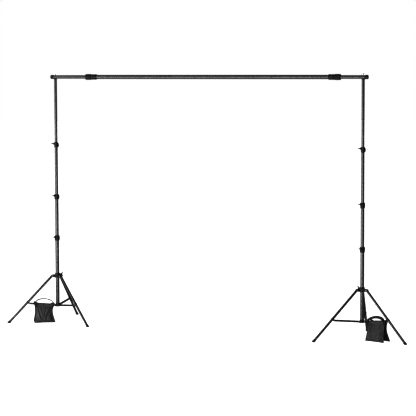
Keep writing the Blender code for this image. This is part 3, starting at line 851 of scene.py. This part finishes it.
def shared(key, make):
    if key not in _shared:
        _shared[key] = make()
        _shared[key].hide_render = True
        _shared[key].hide_viewport = True
    made = bpy.data.objects.new(key, _shared[key].data.copy())
    bpy.context.scene.collection.objects.link(made)
    return made


def leg_tube():
    return moved(tube(LEG_R, LEG_R - WALL, -LEG_LENGTH + 14.0, 9.0, 48), LEG_FRAME)


def leg_plug():
    body = lathe(
        [(0, 10.4), (LEG_R - 3.6, 10.0, 0.8), (LEG_R - 0.4, 8.9, 0.5), (LEG_R - 1.6, 8.8), (LEG_R - 1.7, 0.0), (0, 0.0)], 40
    )
    return moved(body, LEG_FRAME)


def leg_bracket():
    z = -BRACKET_ALONG
    band = lathe(
        [(BAND_R, z + 10.0, 0.6), (BAND_R, z - 10.0, 0.6), (LEG_R + 0.02, z - 10.0, 0.2), (LEG_R + 0.02, z + 10.0, 0.2)], 48, True
    )
    nose = [
        (BRACKET_DROP + 6.5 * math.cos(a), 6.5 * math.sin(a))
        for a in np.linspace(-math.pi / 2 + 0.25, math.pi / 2 - 0.25, 12)
    ]
    outline = [(LEG_R + 0.1, 9.0), (LEG_R + 0.1, -9.0)] + nose
    lug = plate(outline, -5.3, 5.3, 0.9, 3)
    lug = moved(lug, Matrix.Translation((0, 0, z * MM)))
    body = union(band, lug)
    body = minus(body, rod(PIN_HOLE_R, (BRACKET_DROP, -8, z), (BRACKET_DROP, 8, z), 24))
    return moved(body, LEG_FRAME)


def leg_bracket_rivets():
    z = -BRACKET_ALONG
    heads = [
        dome(2.6, (0.0, sgn * (BAND_R - 0.4), z), (0.0, sgn * (BAND_R + 1.0), z), 20) for sgn in (-1, 1)
    ]
    top = dome(3.0, (0.3 - LEG_R, 0, -1.0), (-LEG_R - 1.2, 0, -1.0), 20)
    return moved(merged(*heads, top), LEG_FRAME)


def foot_rubber():
    end = -LEG_LENGTH
    profile = [
        (0, end + 13.0), (LEG_R + GAP, end + 13.0, 0.3), (LEG_R + GAP, end + 28.0, 0.5),
        (LEG_R + 1.5, end + 28.2, 0.8), (FOOT_R - 0.5, end + 25.6, 0.6),
    ]
    for k in range(3):
        z = end + 23.2 - k * 3.4
        profile += [(FOOT_R - 0.4, z, 0.3), (FOOT_R - 1.1, z - 0.5, 0.2), (FOOT_R - 1.1, z - 1.4, 0.2), (FOOT_R - 0.3, z - 1.9, 0.3)]
    profile += [
        (FOOT_R + 0.5, end + 11.0, 0.8), (FOOT_R + 0.6, end + 1.0, 3.0),
        (FOOT_R - 2.5, end - 4.5, 1.5), (0, end - 6.0),
    ]
    body = moved(lathe(profile, 56), LEG_FRAME)
    reach = COLLAR_PIVOT[0] + COLLAR_PIVOT[1] * math.tan(ALPHA)
    return minus(body, box(reach - 60, reach + 60, -60, 60, -60, 0, 0))


def strut_channel():
    length, half, height, wall = STRUT_LENGTH, STRUT_HALF_WIDTH, STRUT_HALF_HEIGHT, STRUT_WALL
    body = plate(stadium(0, length, height, steps=16), -half, half, 1.5, 3)
    body = minus(
        body,
        box(-14, length + 14, -half + wall, half - wall, -height - 2, height - wall, 0),
        box(-14, 11, -half + wall, half - wall, -height - 2, height + 2, 0),
        box(length - 10.5, length + 14, -half + wall, half - wall, -height - 2, height + 2, 0),
        rod(PIN_HOLE_R, (0, -half - 3, 0), (0, half + 3, 0), 24),
        # pressed stiffening groove in the web
        moved(
            plate(stadium(28, length - 28, 1.9, steps=8), -0.55, 0.55, 0.0),
            Matrix.Translation((0, 0, (height + 0.1) * MM)) @ Matrix.Rotation(math.pi / 2, 4, "X"),
        ),
    )
    return moved(body, STRUT_FRAME)


def strut_pin():
    length, half = STRUT_LENGTH, STRUT_HALF_WIDTH
    pin = rod(PIN_R, (length, -half + 0.4, 0), (length, half - 0.4, 0), 20)
    heads = [dome(4.2, (length, s * (half - 0.1), 0), (length, s * (half + 1.5), 0)) for s in (-1, 1)]
    return moved(merged(pin, *heads), STRUT_FRAME)


def make_stud(side, base):
    seat = BAR_AXIS_Z - END_TUBE_R - GAP
    inner = COLUMN_R[3] - WALL - GAP
    profile = [(0, STUD_TOP_Z), (STUD_R - 1.0, STUD_TOP_Z, 0.3), (STUD_R - 0.1, STUD_TOP_Z - 0.9)]
    z = STUD_TOP_Z - 1.6
    while z > BAR_AXIS_Z - 4:
        profile += [(STUD_R - 0.55, z), (STUD_R, z - 0.8)]
        z -= 1.6
    profile += [(STUD_R, seat - 3.0), (0, seat - 3.0)]
    show(lathe(profile, 40), f"{side}_stud_threaded", f"{side}_stud", base, "stud_steel")
    plug = lathe(
        [
            (STUD_R - 0.05, seat, 0.2), (15.0, seat, 0.4), (16.5, seat - 1.4, 0.5), (16.5, seat - 4.6, 0.6),
            (COLUMN_R[3], seat - 6.0), (inner, seat - 6.0), (inner, seat - 34.0),
            (inner - 1.0, seat - 36.0), (0, seat - 36.0), (0, seat - 3.05), (STUD_R - 0.05, seat - 3.05),
        ],
        56,
    )
    show(plug, f"{side}_stud_plug", f"{side}_stud", base, "casting_black", False)


def make_wing_nut(side, base):
    low = BAR_AXIS_Z + END_TUBE_R + GAP
    hub_part = lathe(
        [
            (5.9, low + 11.2, 0.6), (7.2, low + 8.0, 0.8), (8.8, low + 2.2, 0.8), (9.6, low + 1.4, 0.4),
            (9.6, low, 0.3), (STUD_R + GAP, low, 0.3), (STUD_R + GAP, low + 11.2, 0.4),
        ],
        48,
        True,
    )
    wings = []
    for sgn in (-1, 1):
        outline = smooth_outline(
            [(4.6, 4.0), (9.6, 4.0), (12.6, 9.0), (14.2, 14.4), (12.4, 17.9), (8.2, 17.4), (5.8, 12.0), (4.7, 8.0)], 4
        )
        wing = plate(outline, -1.7, 1.7, 0.9, 3)
        lean = Matrix.Translation((6.2 * MM, 0, (low + 2.0) * MM)) @ Matrix.Rotation(math.radians(18), 4, "Y") @ Matrix.Translation((-6.2 * MM, 0, -2.0 * MM))
        wing = moved(wing, lean)
        if sgn < 0:
            wing = moved(wing, Matrix.Rotation(math.pi, 4, "Z"))
        wings.append(wing)
    body = union(hub_part, *wings)
    body = minus(body, rod(STUD_R + GAP - 0.02, (0, 0, low - 3), (0, 0, low + 24), 48, 0.0))
    show(body, f"{side}_wing_nut_zinc", f"{side}_wing_nut", base)


def make_stand(side):
    sign = -1 if side == "left" else 1
    base = Matrix.Translation((sign * COLUMN_HALF_SPACING * MM, 0, 0))
    azimuths = LEG_AZIMUTHS[side]
    tops = [z - 4.0 - GAP for z in LOCK_Z] + [BAR_AXIS_Z - END_TUBE_R - GAP - 6.0 - GAP]
    bottoms = [HUB_BOTTOM_Z + 4.0, LOCK_Z[1] - TUBE_2_REACH, LOCK_Z[2] - TUBE_3_REACH, tops[3] - TUBE_4_LENGTH]
    for i, radius in enumerate(COLUMN_R):
        node = f"{side}_" + ("base_tube" if i == 0 else f"tube_{i + 1}")
        show(tube(radius, radius - WALL, bottoms[i], tops[i]), node + "_drawn", node, base)
    for step in range(3):
        make_lock(side, step, base, LOCK_KNOB_AZIMUTHS[side][step])
    make_stud(side, base)
    make_wing_nut(side, base)
    make_hub(side, base, azimuths)
    make_leg_collar(side, base, azimuths, COLLAR_KNOB_AZIMUTH[side])
    for i, azimuth in enumerate(azimuths):
        turn = base @ turned_to(azimuth)
        leg, strut, foot = f"{side}_leg_{i + 1}", f"{side}_strut_{i + 1}", f"{side}_foot_{i + 1}"
        show(shared("leg_tube", leg_tube), leg + "_tube", leg, turn, "leg_black")
        show(shared("leg_plug", leg_plug), leg + "_plug", leg, turn, "casting_black", False)
        show(shared("leg_bracket", leg_bracket), leg + "_bracket", leg, turn, "casting_black", False)
        show(shared("leg_rivets", leg_bracket_rivets), leg + "_rivets", leg, turn, "rivet_steel", False)
        show(shared("foot", foot_rubber), foot + "_rubber", foot, turn)
        show(shared("strut", strut_channel), strut + "_channel", strut, turn, "strut_black")
        show(shared("strut_pin", strut_pin), strut + "_rivet", strut, turn, "rivet_steel", False)


# =============================================================== the crossbar
LAY = Matrix.Translation((0, 0, BAR_AXIS_Z * MM)) @ Matrix.Rotation(math.pi / 2, 4, "Y")


def along_bar(obj):
    return moved(obj, LAY)


def barrel(low, high, radius, bore, ends, flutes, depth, margin, waist=0.0):
    """A fluted hand grip with rounded ends."""
    length = high - low
    steps = 30

    def outline():
        points = []
        for k in range(steps + 1):
            t = k / steps
            z = high - t * length
            edge = min(z - low, high - z)
            fall = max(0.0, 1.0 - edge / ends)
            r = radius - (1 - math.sqrt(max(0.0, 1 - fall * fall))) * ends * 0.62
            r -= waist * math.exp(-(((t - 0.5) / 0.16) ** 2))
            points.append((r, z))
        return points

    def shape(angle, r, z):
        if r < bore + 1.2:
            return r
        edge = min(z - low, high - z)
        window = min(1.0, max(0.0, (edge - margin) / 5.0))
        window = window * window * (3 - 2 * window)
        wave = 0.5 - 0.5 * math.cos(angle * flutes)
        return r - depth * window * wave ** 2.2

    return lathe(outline() + [(bore, low, 0.4), (bore, high, 0.4)], 192, True, shape)


def make_crossbar():
    base = Matrix.Identity(4)
    bore = SECTION_R - SECTION_WALL
    for side, sign, split in (("left", -1, LOCK_SPLIT_X[0]), ("right", 1, LOCK_SPLIT_X[1])):
        stud_x = sign * COLUMN_HALF_SPACING
        low, high = sorted((sign * (BAR_END - CAP_LENGTH + 5.0), split - sign * END_TUBE_INSERT))
        part = along_bar(tube(END_TUBE_R, END_TUBE_R - WALL, low, high))
        hole = rod(STUD_R + 0.5, (stud_x, 0, BAR_AXIS_Z - 25), (stud_x, 0, BAR_AXIS_Z + 25), 32, 0)
        node = f"crossbar_{side}_end"
        show(minus(part, hole), node + "_tube", node, base)

        face = BAR_END
        cap = lathe(
            [
                (0, face - 0.2), (10.0, face, 2.0), (CAP_R - 1.6, face, 3.2), (CAP_R, face - 4.5, 2.0),
                (CAP_R, face - 21.0, 0.4), (CAP_R - 0.7, face - 21.8, 0.3),
                (CAP_R - 0.7, face - 23.0, 0.3), (CAP_R, face - 23.8, 0.4),
                (CAP_R, face - CAP_LENGTH, 1.0), (END_TUBE_R + GAP, face - CAP_LENGTH, 0.3),
                (END_TUBE_R + GAP, face - 3.0), (0, face - 3.0),
            ][::-1],
            64,
        )
        if sign < 0:
            cap = moved(cap, Matrix.Rotation(math.pi, 4, "X"))
        show(along_bar(cap), f"{side}_end_cap_moulded", f"{side}_end_cap", base)

        near, far = split + sign * GAP, split + sign * RING_LENGTH
        low, high = sorted((near, far))
        ring = barrel(low, high, RING_R, END_TUBE_R + GAP, 9.0, 20, 1.7, 8.0)
        show(along_bar(ring), f"{side}_twist_ring_grip", f"{side}_twist_ring", base)

    spans = (
        ("left", LOCK_SPLIT_X[0], JOINT_X[0]),
        ("middle", JOINT_X[0], JOINT_X[1]),
        ("right", JOINT_X[1], LOCK_SPLIT_X[1]),
    )
    for label, low, high in spans:
        node = f"crossbar_section_{label}"
        low_gap = low + (GAP if label != "left" else 0)
        if label == "middle":
            plug = bore - GAP
            body = lathe(
                [
                    (SECTION_R, high - GAP, 0.5), (SECTION_R, low_gap, 0.5), (plug, low_gap),
                    (plug, low - 70.0, 1.0), (plug - 2.2, low - 70.0, 0.4), (plug - 2.2, high + 70.0, 0.4),
                    (plug, high + 70.0, 1.0), (plug, high - GAP),
                ],
                64,
                True,
            )
            show(along_bar(body), node + "_tube", node, base)
            # spring buttons standing through the outer sections
            buttons = []
            for joint, inward in ((low, -1), (high, 1)):
                x = joint + inward * 24.0
                top = BAR_AXIS_Z + SECTION_R
                buttons.append(dome(4.0, (x, 0, top - 3.0), (x, 0, top + 2.6), 28))
            show(merged(*buttons), "crossbar_spring_buttons", node, base, "stud_steel", False)
        else:
            show(along_bar(tube(SECTION_R, bore, low_gap, high)), node + "_tube", node, base)
            split = low if label == "left" else high
            inward = 1 if label == "left" else -1
            a, b = sorted((split, split + inward * BASE_LENGTH))
            grip = barrel(a, b, BASE_R, SECTION_R + 0.01, 6.5, 20, 1.1, 7.0, 0.5)
            show(along_bar(grip), f"{label}_twist_lock_base", node, base, "knob_black", False)


# ================================================================= the sandbags
def strut_z(along):
    return HUB_PIVOT[1] + along * math.tan(BETA)


# edge lines of a pouch: how far each side is drawn in, in mm, at each height
# share, bottom to top, and how far the top corners stand up
HEIGHTS = (0.0, 0.10, 0.25, 0.40, 0.55, 0.70, 0.85, 0.95, 1.0)
DRAWN = {
    ("left", "front"): ((2, 5, 13, 20, 25, 24, 14, 4, 0), (-1, 1, 5, 8, 9, 9, 8, 4, 0), 14.5, 17.0),
    ("left", "back"): ((4, 6, 12, 17, 20, 19, 12, 4, 1), (2, 4, 9, 13, 15, 14, 9, 3, 1), 12.0, 12.0),
    ("right", "front"): ((0, 2, 6, 9, 10, 7, 1, -6, -9), (0, 2, 5, 8, 9, 8, 6, 3, 1), 14.0, 10.0),
    ("right", "back"): ((3, 6, 12, 16, 18, 17, 11, 4, 0), (0, 5, 15, 24, 28, 25, 15, 5, 0), 10.0, 12.0),
}
HEM = 7.0


def seam_v(w, corner):
    return 19.0 + 32.0 * (1 - w) + 7.0 * corner * w ** 3


def pouch_sheet(side, which, sign):
    """A filled pouch: two panels sewn together round the edge, as one closed
    mesh in the bag's frame.  Returns it, its rim's vertices in order, and its
    outer panel's grid."""
    columns, rows = 52, 50
    start, end = BAG_U[side]
    inner_draw, outer_draw, ear_in, ear_out = DRAWN[side, which]
    bm = bmesh.new()
    grids = []
    for panel in (0, 1):
        grid = []
        for j in range(rows + 1):
            w = j / rows
            low = start + float(np.interp(w, HEIGHTS, inner_draw))
            high = end - float(np.interp(w, HEIGHTS, outer_draw))
            line = []
            for i in range(columns + 1):
                t = i / columns
                if panel and (i in (0, columns) or j in (0, rows)):
                    line.append(grids[0][j][i])
                    continue
                along = low + t * (high - low)
                # the top corners stand up and flare out a little, rounded off
                round_off = (min(t, 1 - t) * (high - low) - 14.0) / 18.0
                raised = math.exp(-round_off * round_off)
                ear = (ear_in if t < 0.5 else ear_out) * raised
                corner = max(raised, abs(2 * t - 1) ** 6)
                top = strut_z(along) + 9.2 + ear - 1.5 * math.sin(math.pi * t)
                bottom = BAG_BOTTOM_Z - 0.6 + 1.6 * math.sin(math.pi * t)
                z = bottom + w * (top - bottom)
                beside = min(along - low, high - along)
                above, below = z - bottom, top - z

                def swell(distance, reach):
                    x = min(1.0, max(0.0, (distance - HEM) / reach))
                    return math.sin(math.pi / 2 * x) ** 0.75

                fill = swell(beside, 46.0) * swell(above, 26.0) * swell(below, 60.0)
                fill *= 1.0 - 0.55 * max(0.0, (w - 0.32) / 0.68) ** 1.2
                v = seam_v(w, corner) + (27.0 * fill + 0.7 if panel == 0 else -11.0 * fill - 0.7)
                line.append(bm.verts.new(((HUB_PIVOT[0] + along) * MM, sign * max(v, 14.0) * MM, z * MM)))
            grid.append(line)
        grids.append(grid)
    layer = bm.loops.layers.uv.new("cloth")
    for panel, grid in enumerate(grids):
        for j in range(rows):
            for i in range(columns):
                ids = ((i, j), (i + 1, j), (i + 1, j + 1), (i, j + 1))
                face = bm.faces.new([grid[b][a] for a, b in ids])
                for loop, (a, b) in zip(face.loops, ids):
                    loop[layer].uv = (a / columns * 0.206, b / rows * 0.195)
    bm.verts.index_update()
    outer = grids[0]
    ring = [outer[0][i].index for i in range(columns + 1)]
    ring += [outer[j][columns].index for j in range(1, rows + 1)]
    ring += [outer[rows][i].index for i in range(columns - 1, -1, -1)]
    ring += [outer[j][0].index for j in range(rows - 1, 0, -1)]
    front = [[vert.index for vert in line] for line in outer]
    bmesh.ops.recalc_face_normals(bm, faces=bm.faces)
    mesh = bpy.data.meshes.new("pouch")
    bm.to_mesh(mesh)
    bm.free()
    obj = bpy.data.objects.new("pouch", mesh)
    bpy.context.scene.collection.objects.link(obj)
    return obj, ring, front


def drape(obj, ring, sign, frames=20):
    """Cloth simulation of the filled pouch, held along its seam."""
    start = np.array([v.co for v in obj.data.vertices])
    group = obj.vertex_groups.new(name="seam")
    group.add(ring, 1.0, "REPLACE")
    cloth = obj.modifiers.new("cloth", "CLOTH")
    s = cloth.settings
    s.quality = 6
    s.mass = 0.25
    s.tension_stiffness = 18.0
    s.compression_stiffness = 10.0
    s.shear_stiffness = 6.0
    s.bending_stiffness = 0.25
    s.shrink_min = -0.06
    s.use_pressure = True
    s.uniform_pressure_force = 3.0
    s.vertex_group_mass = "seam"
    s.effector_weights.gravity = 0.5
    cloth.collision_settings.use_collision = False
    cloth.collision_settings.use_self_collision = False
    cloth.point_cache.frame_start = 1
    cloth.point_cache.frame_end = frames
    scene = bpy.context.scene
    for number in range(1, frames + 1):
        scene.frame_set(number)
    graph = bpy.context.evaluated_depsgraph_get()
    done = np.array([v.co for v in obj.evaluated_get(graph).data.vertices])
    obj.modifiers.remove(cloth)
    scene.frame_set(1)
    shift = done - start
    far = np.linalg.norm(shift, axis=1, keepdims=True)
    shift *= np.minimum(1.0, 0.009 / np.maximum(far, 1e-9))
    done = start + shift
    done[:, 1] = sign * np.maximum(sign * done[:, 1], 0.0139)
    done[:, 2] = np.maximum(done[:, 2], 0.0012)
    for vertex, place in zip(obj.data.vertices, done):
        vertex.co = place


def crease(obj, front, side, which, sign):
    """Folds that hang from the top corners to the bottom middle, and puckers
    along the seams, on the outer panel."""
    columns, rows = len(front[0]) - 1, len(front) - 1
    # (top share, bottom share, how far down it runs, width, depth)
    folds = (
        (0.04, 0.46, 0.95, 0.050, 4.6), (0.97, 0.54, 0.92, 0.050, 4.6),
        (0.10, 0.30, 0.70, 0.032, 2.8), (0.90, 0.70, 0.72, 0.032, 2.8),
        (0.28, 0.47, 0.62, 0.034, 2.2), (0.72, 0.55, 0.60, 0.034, 2.2),
        (0.015, 0.12, 0.55, 0.026, 2.4), (0.985, 0.88, 0.55, 0.026, 2.2),
    )
    turn = 1.7 if which == "front" else 4.9
    for j in range(1, rows):
        w = j / rows
        for i in range(1, columns):
            t = i / columns
            inner = min(1.0, 5.0 * min(t, 1 - t)) * min(1.0, 6.0 * min(w, 1 - w))
            push = 0.0
            for a, b, reach, width, depth in folds:
                down = 1 - w
                if down > reach + 0.05:
                    continue
                x = down / reach
                centre = a + (b - a) * x ** 0.9 + 0.012 * math.sin(9 * x + turn)
                fade = max(0.0, 1 - x) ** 0.55 * min(1.0, 0.25 + 4.0 * x)
                gauss = math.exp(-(((t - centre) / width) ** 2))
                ridge = math.exp(-(((t - centre - width * 1.7) / width) ** 2))
                push += 1.9 * depth * fade * (0.45 * ridge - gauss)
            ripple = noise.noise(Vector((t * 4.5 + turn, w * 3.0, 3.7 * sign))) * 2.6
            ripple += noise.noise(Vector((t * 11.0, w * 7.0 + turn, 9.1 * sign))) * 0.9
            # slumped rolls of sand near the bottom
            ripple += 1.5 * math.sin(w * 34 + 2.0 * math.sin(t * 5 + turn)) * math.exp(-(((w - 0.16) / 0.11) ** 2))
            pucker = 0.8 * math.sin(t * 62 + turn) * math.exp(-(((w - 0.07) / 0.06) ** 2))
            pucker += 0.8 * math.sin(w * 58) * math.exp(-(((min(t, 1 - t) - 0.07) / 0.05) ** 2))
            vertex = obj.data.vertices[front[j][i]]
            vertex.co.y += sign * (inner * (push + ripple) + pucker * min(1.0, 12 * min(t, 1 - t, w, 1 - w))) * MM
            if sign * vertex.co.y < 0.0150:
                vertex.co.y = sign * 0.0150


def ribbon(points, widths, thickness, name):
    """A flat webbing strap: points, each with the direction across it and its
    normal."""
    bm = bmesh.new()
    layer = bm.loops.layers.uv.new("cloth")
    rows, travelled, last = [], 0.0, None
    shape = (
        (-1, -0.5), (-0.97, -1), (-0.6, -1), (-0.2, -1), (0.2, -1), (0.6, -1), (0.97, -1), (1, -0.5),
        (1, 0.5), (0.97, 1), (0.6, 1), (0.2, 1), (-0.2, 1), (-0.6, 1), (-0.97, 1), (-1, 0.5),
    )
    for (point, across, normal), width in zip(points, widths):
        point, across, normal = Vector(point), Vector(across).normalized(), Vector(normal).normalized()
        if last is not None:
            travelled += (point - last).length
        last = point
        half, thick = width / 2, thickness / 2
        section = [
            (bm.verts.new((point + across * a * half + normal * b * thick) * MM), a * half)
            for a, b in shape
        ]
        rows.append((section, travelled))
    count = len(shape)
    for (a, ta), (b, tb) in zip(rows, rows[1:]):
        for k in range(count):
            n = (k + 1) % count
            face = bm.faces.new((a[k][0], a[n][0], b[n][0], b[k][0]))
            values = ((ta, a[k][1]), (ta, a[n][1]), (tb, b[n][1]), (tb, b[k][1]))
            for loop, uv in zip(face.loops, values):
                loop[layer].uv = (uv[0] * MM, uv[1] * MM)
    for section, travelled in (rows[0], rows[-1]):
        bm.faces.new([v for v, _ in section])
    return to_object(bm, name)


def tape(points, radius, name, closed=True):
    """A bound edge along a line of points, in metres."""
    curve = bpy.data.curves.new(name, "CURVE")
    curve.dimensions = "3D"
    curve.bevel_depth = radius * MM
    curve.bevel_resolution = 3
    line = curve.splines.new("POLY")
    line.points.add(len(points) - 1)
    for point, co in zip(line.points, points):
        point.co = (*co, 1.0)
    line.use_cyclic_u = closed
    made = bpy.data.objects.new(name, curve)
    bpy.context.scene.collection.objects.link(made)
    bpy.context.view_layer.update()
    graph = bpy.context.evaluated_depsgraph_get()
    mesh = bpy.data.meshes.new_from_object(made.evaluated_get(graph))
    solid = bpy.data.objects.new(name, mesh)
    bpy.context.scene.collection.objects.link(solid)
    drop(made)
    layer = mesh.uv_layers.new(name="cloth")
    for loop in mesh.loops:
        co = mesh.vertices[loop.vertex_index].co
        layer.data[loop.index].uv = (co.x + co.z, co.y)
    return solid


def stitches(lines, length, pitch, radius, name):
    """Rows of short thread stitches along lines of (point, normal), in mm."""
    bm = bmesh.new()
    for line in lines:
        walked, next_at = 0.0, pitch / 2
        for (a, na), (b, nb) in zip(line, line[1:]):
            step = (b - a).length
            while step > 1e-6 and walked + step >= next_at:
                t = (next_at - walked) / step
                centre = a.lerp(b, t) + na.lerp(nb, t).normalized() * radius * 0.35
                turn = (b - a).to_track_quat("Z", "Y").to_matrix().to_4x4()
                size = Matrix.Diagonal((radius * MM, radius * MM, length / 2 * MM, 1))
                bmesh.ops.create_icosphere(
                    bm, subdivisions=1, radius=1.0, matrix=Matrix.Translation(centre * MM) @ turn @ size
                )
                next_at += pitch
            walked += step
    return to_object(bm, name)


def on_panel(obj, sign):
    """A function that lays a point (along, z) on the outer panel, in mm."""
    mesh = obj.data
    tree = BVHTree.FromPolygons([v.co[:] for v in mesh.vertices], [p.vertices[:] for p in mesh.polygons])

    def find(along, z):
        origin = Vector(((HUB_PIVOT[0] + along) * MM, sign * 0.2, z * MM))
        hit, normal, _, _ = tree.ray_cast(origin, Vector((0, -sign, 0)))
        if hit is None:
            return None
        if normal.y * sign < 0:
            normal = -normal
        return hit / MM, normal

    return find


def edge_rows(side, which, find):
    """Stitch lines inside a pouch's sides, bottom and top."""
    start, end = BAG_U[side]
    inner_draw, outer_draw, _, _ = DRAWN[side, which]
    lines = []
    for inset in (3.2, 6.0):
        for draw, edge, into in ((inner_draw, start, 1), (outer_draw, end, -1)):
            row = []
            for w in np.linspace(0.05, 0.93, 60):
                along = edge + into * (float(np.interp(w, HEIGHTS, draw)) + inset)
                row.append(find(along, BAG_BOTTOM_Z + w * (strut_z(along) - BAG_BOTTOM_Z)))
            lines.append([r for r in row if r])
        row = [find(a, BAG_BOTTOM_Z + 1.2 + inset) for a in np.linspace(start + 8, end - 5, 70)]
        lines.append([r for r in row if r])
        row = [find(a, strut_z(a) + 7.4 - inset) for a in np.linspace(start + 16, end - 14, 70)]
        lines.append([r for r in row if r])
    return [line for line in lines if len(line) > 2]


def make_sandbag(side):
    sign = -1 if side == "left" else 1
    azimuth = LEG_AZIMUTHS[side][0 if side == "left" else 2]
    front = 1 if side == "left" else -1
    start, end = BAG_U[side]
    node = f"{side}_sandbag"
    base = Matrix.Translation((sign * COLUMN_HALF_SPACING * MM, 0, 0)) @ turned_to(azimuth)
    faces = {}
    for which, facing in (("front", front), ("back", -front)):
        obj, ring, panel = pouch_sheet(side, which, facing)
        drape(obj, ring, facing)
        crease(obj, panel, side, which, facing)
        rim = [obj.data.vertices[i].co.copy() for i in ring]
        smooth = obj.modifiers.new("soft", "SUBSURF")
        smooth.levels = smooth.render_levels = 1
        fine = baked(obj)
        find = on_panel(fine, facing)
        faces[which] = find
        show(tape(rim, 1.7, "tape"), f"{node}_{which}_binding", node, base, "bag_webbing", False)
        show(
            stitches(edge_rows(side, which, find), 2.6, 4.2, 0.38, "thread"),
            f"{node}_{which}_stitching", node, base, "bag_thread", False, sharp=None,
        )
        # the right bag's pouches take the same cloth painted darker, as painted shade
        show(
            fine, f"{node}_{which}_pouch", node, base,
            "bag_fabric" if side == "left" else "bag_fabric_painted_shade", sharp=None,
        )
        fine.data.shade_smooth()

    # saddle web over the strut, joining the pouches
    bm = bmesh.new()
    layer = bm.loops.layers.uv.new("cloth")
    count_u, count_v = 44, 18
    top, bottom = [], []
    low, high = start + BAG_WEB_INSET - 9.0, end - BAG_WEB_INSET + 9.0
    for j in range(count_u + 1):
        along = low + (high - low) * j / count_u
        rows = []
        for i in range(count_v + 1):
            v = -20.0 + 40.0 * i / count_v
            h = STRUT_HALF_HEIGHT + 1.9 + 0.25 * math.cos(along * 0.09 + v * 0.15) - 0.9 * (abs(v) / 20.0) ** 3
            rows.append(strut_z(along) + h / math.cos(BETA))
        top.append([bm.verts.new(((HUB_PIVOT[0] + along) * MM, (-20.0 + 40.0 * i / count_v) * MM, (z + 0.8) * MM)) for i, z in enumerate(rows)])
        bottom.append([bm.verts.new(((HUB_PIVOT[0] + along) * MM, (-20.0 + 40.0 * i / count_v) * MM, (z - 0.8) * MM)) for i, z in enumerate(rows)])

    def quad(corners, uvs):
        face = bm.faces.new(corners)
        for loop, uv in zip(face.loops, uvs):
            loop[layer].uv = uv

    for grid in (top, bottom):
        for j in range(count_u):
            for i in range(count_v):
                ids = ((j, i), (j, i + 1), (j + 1, i + 1), (j + 1, i))
                quad([grid[a][b] for a, b in ids], [(a * 0.0039, b * 0.0022) for a, b in ids])
    for i in range(count_v):
        for j in (0, count_u):
            quad([top[j][i], top[j][i + 1], bottom[j][i + 1], bottom[j][i]], [(0, 0)] * 4)
    for j in range(count_u):
        for i in (0, count_v):
            quad([top[j][i], top[j + 1][i], bottom[j + 1][i], bottom[j][i]], [(0, 0)] * 4)
    show(to_object(bm), f"{node}_saddle_web", node, base, "bag_webbing", False)

    # carrying strap, leaning out over the front pouch, its ends sewn down
    rise, count = BAG_STRAP_RISE[side], 56
    tilt = math.radians(-20 if side == "left" else -76)
    broad = 19.0 if side == "left" else 27.0
    # the arch's power, its skew towards the outer end, and how much higher it stands
    power, skew, more = (0.40, 1.0, 12.0) if side == "left" else (0.40, 1.65, 6.5)
    inner_draw, outer_draw = DRAWN[side, "front"][:2]
    inner_end, outer_end = start + 12.0 + inner_draw[-1], end - 12.0 - outer_draw[-1]
    spine = []
    for k in range(count + 1):
        t = k / count
        arch = math.sin(math.pi * min(1.0, t ** skew)) ** power
        along = inner_end + (outer_end - inner_end) * t
        spine.append(
            Vector((
                HUB_PIVOT[0] + along,
                front * (28.0 + 0.87 * rise * arch),
                strut_z(along) + 8.0 + (rise + more) * arch,
            ))
        )
    full = []
    across0 = Vector((0, front * math.cos(tilt), math.sin(tilt)))
    for k, point in enumerate(spine):
        tangent = (spine[min(count, k + 1)] - spine[max(0, k - 1)]).normalized()
        normal = tangent.cross(across0).normalized()
        full.append((point, normal.cross(tangent).normalized(), normal))
    widths = [broad - (4.0 if side == "left" else 2.0) * math.sin(math.pi * k / count) ** 3 for k in range(count + 1)]
    strap = show(ribbon(full, widths, 1.9, "strap"), f"{node}_carrying_strap", node, base, "bag_webbing", False)
    # the strap takes a mesh of its own; the direction up the strut is worked out but not used
    up = turned_to(azimuth) @ Vector((-math.sin(BETA), 0, math.cos(BETA)))
    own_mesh(strap)
    rows = []
    for edge, into, draw in ((start, 1, inner_draw), (end, -1, outer_draw)):
        down = []
        for k in range(15):
            z = strut_z(edge) + 8.0 - 3.0 * k
            share = (z - BAG_BOTTOM_Z) / (strut_z(edge) + 9.2 - BAG_BOTTOM_Z)
            found = faces["front"](edge + into * (12.0 + float(np.interp(share, HEIGHTS, draw))), z)
            if found:
                down.append((found[0] + found[1] * 1.1, Vector((1, 0, 0)), found[1]))
        if len(down) > 3:
            rows.append(down)
    for number, down in enumerate(rows):
        show(ribbon(down, [19.0] * len(down), 1.9, "tab"), f"{node}_strap_tab_{number + 1}", node, base, "bag_webbing", False)
        box_lines = []
        for shift in (-7.2, 7.2):
            box_lines.append([(p + a * shift + n * 0.95, n) for p, a, n in down[1:]])
        for index in (2, len(down) - 2):
            p, a, n = down[index]
            box_lines.append([(p + a * x + n * 0.95, n) for x in np.linspace(-7.2, 7.2, 8)])
        show(
            stitches(box_lines, 2.2, 3.2, 0.36, "thread"), f"{node}_tab_stitching_{number + 1}",
            node, base, "bag_thread", False, sharp=None,
        )


# ==================================================================== assembly
camera()
stage_and_light()
make_stand("left")
make_stand("right")
make_crossbar()
make_sandbag("left")
make_sandbag("right")
for kept in list(_shared.values()):
    drop(kept)
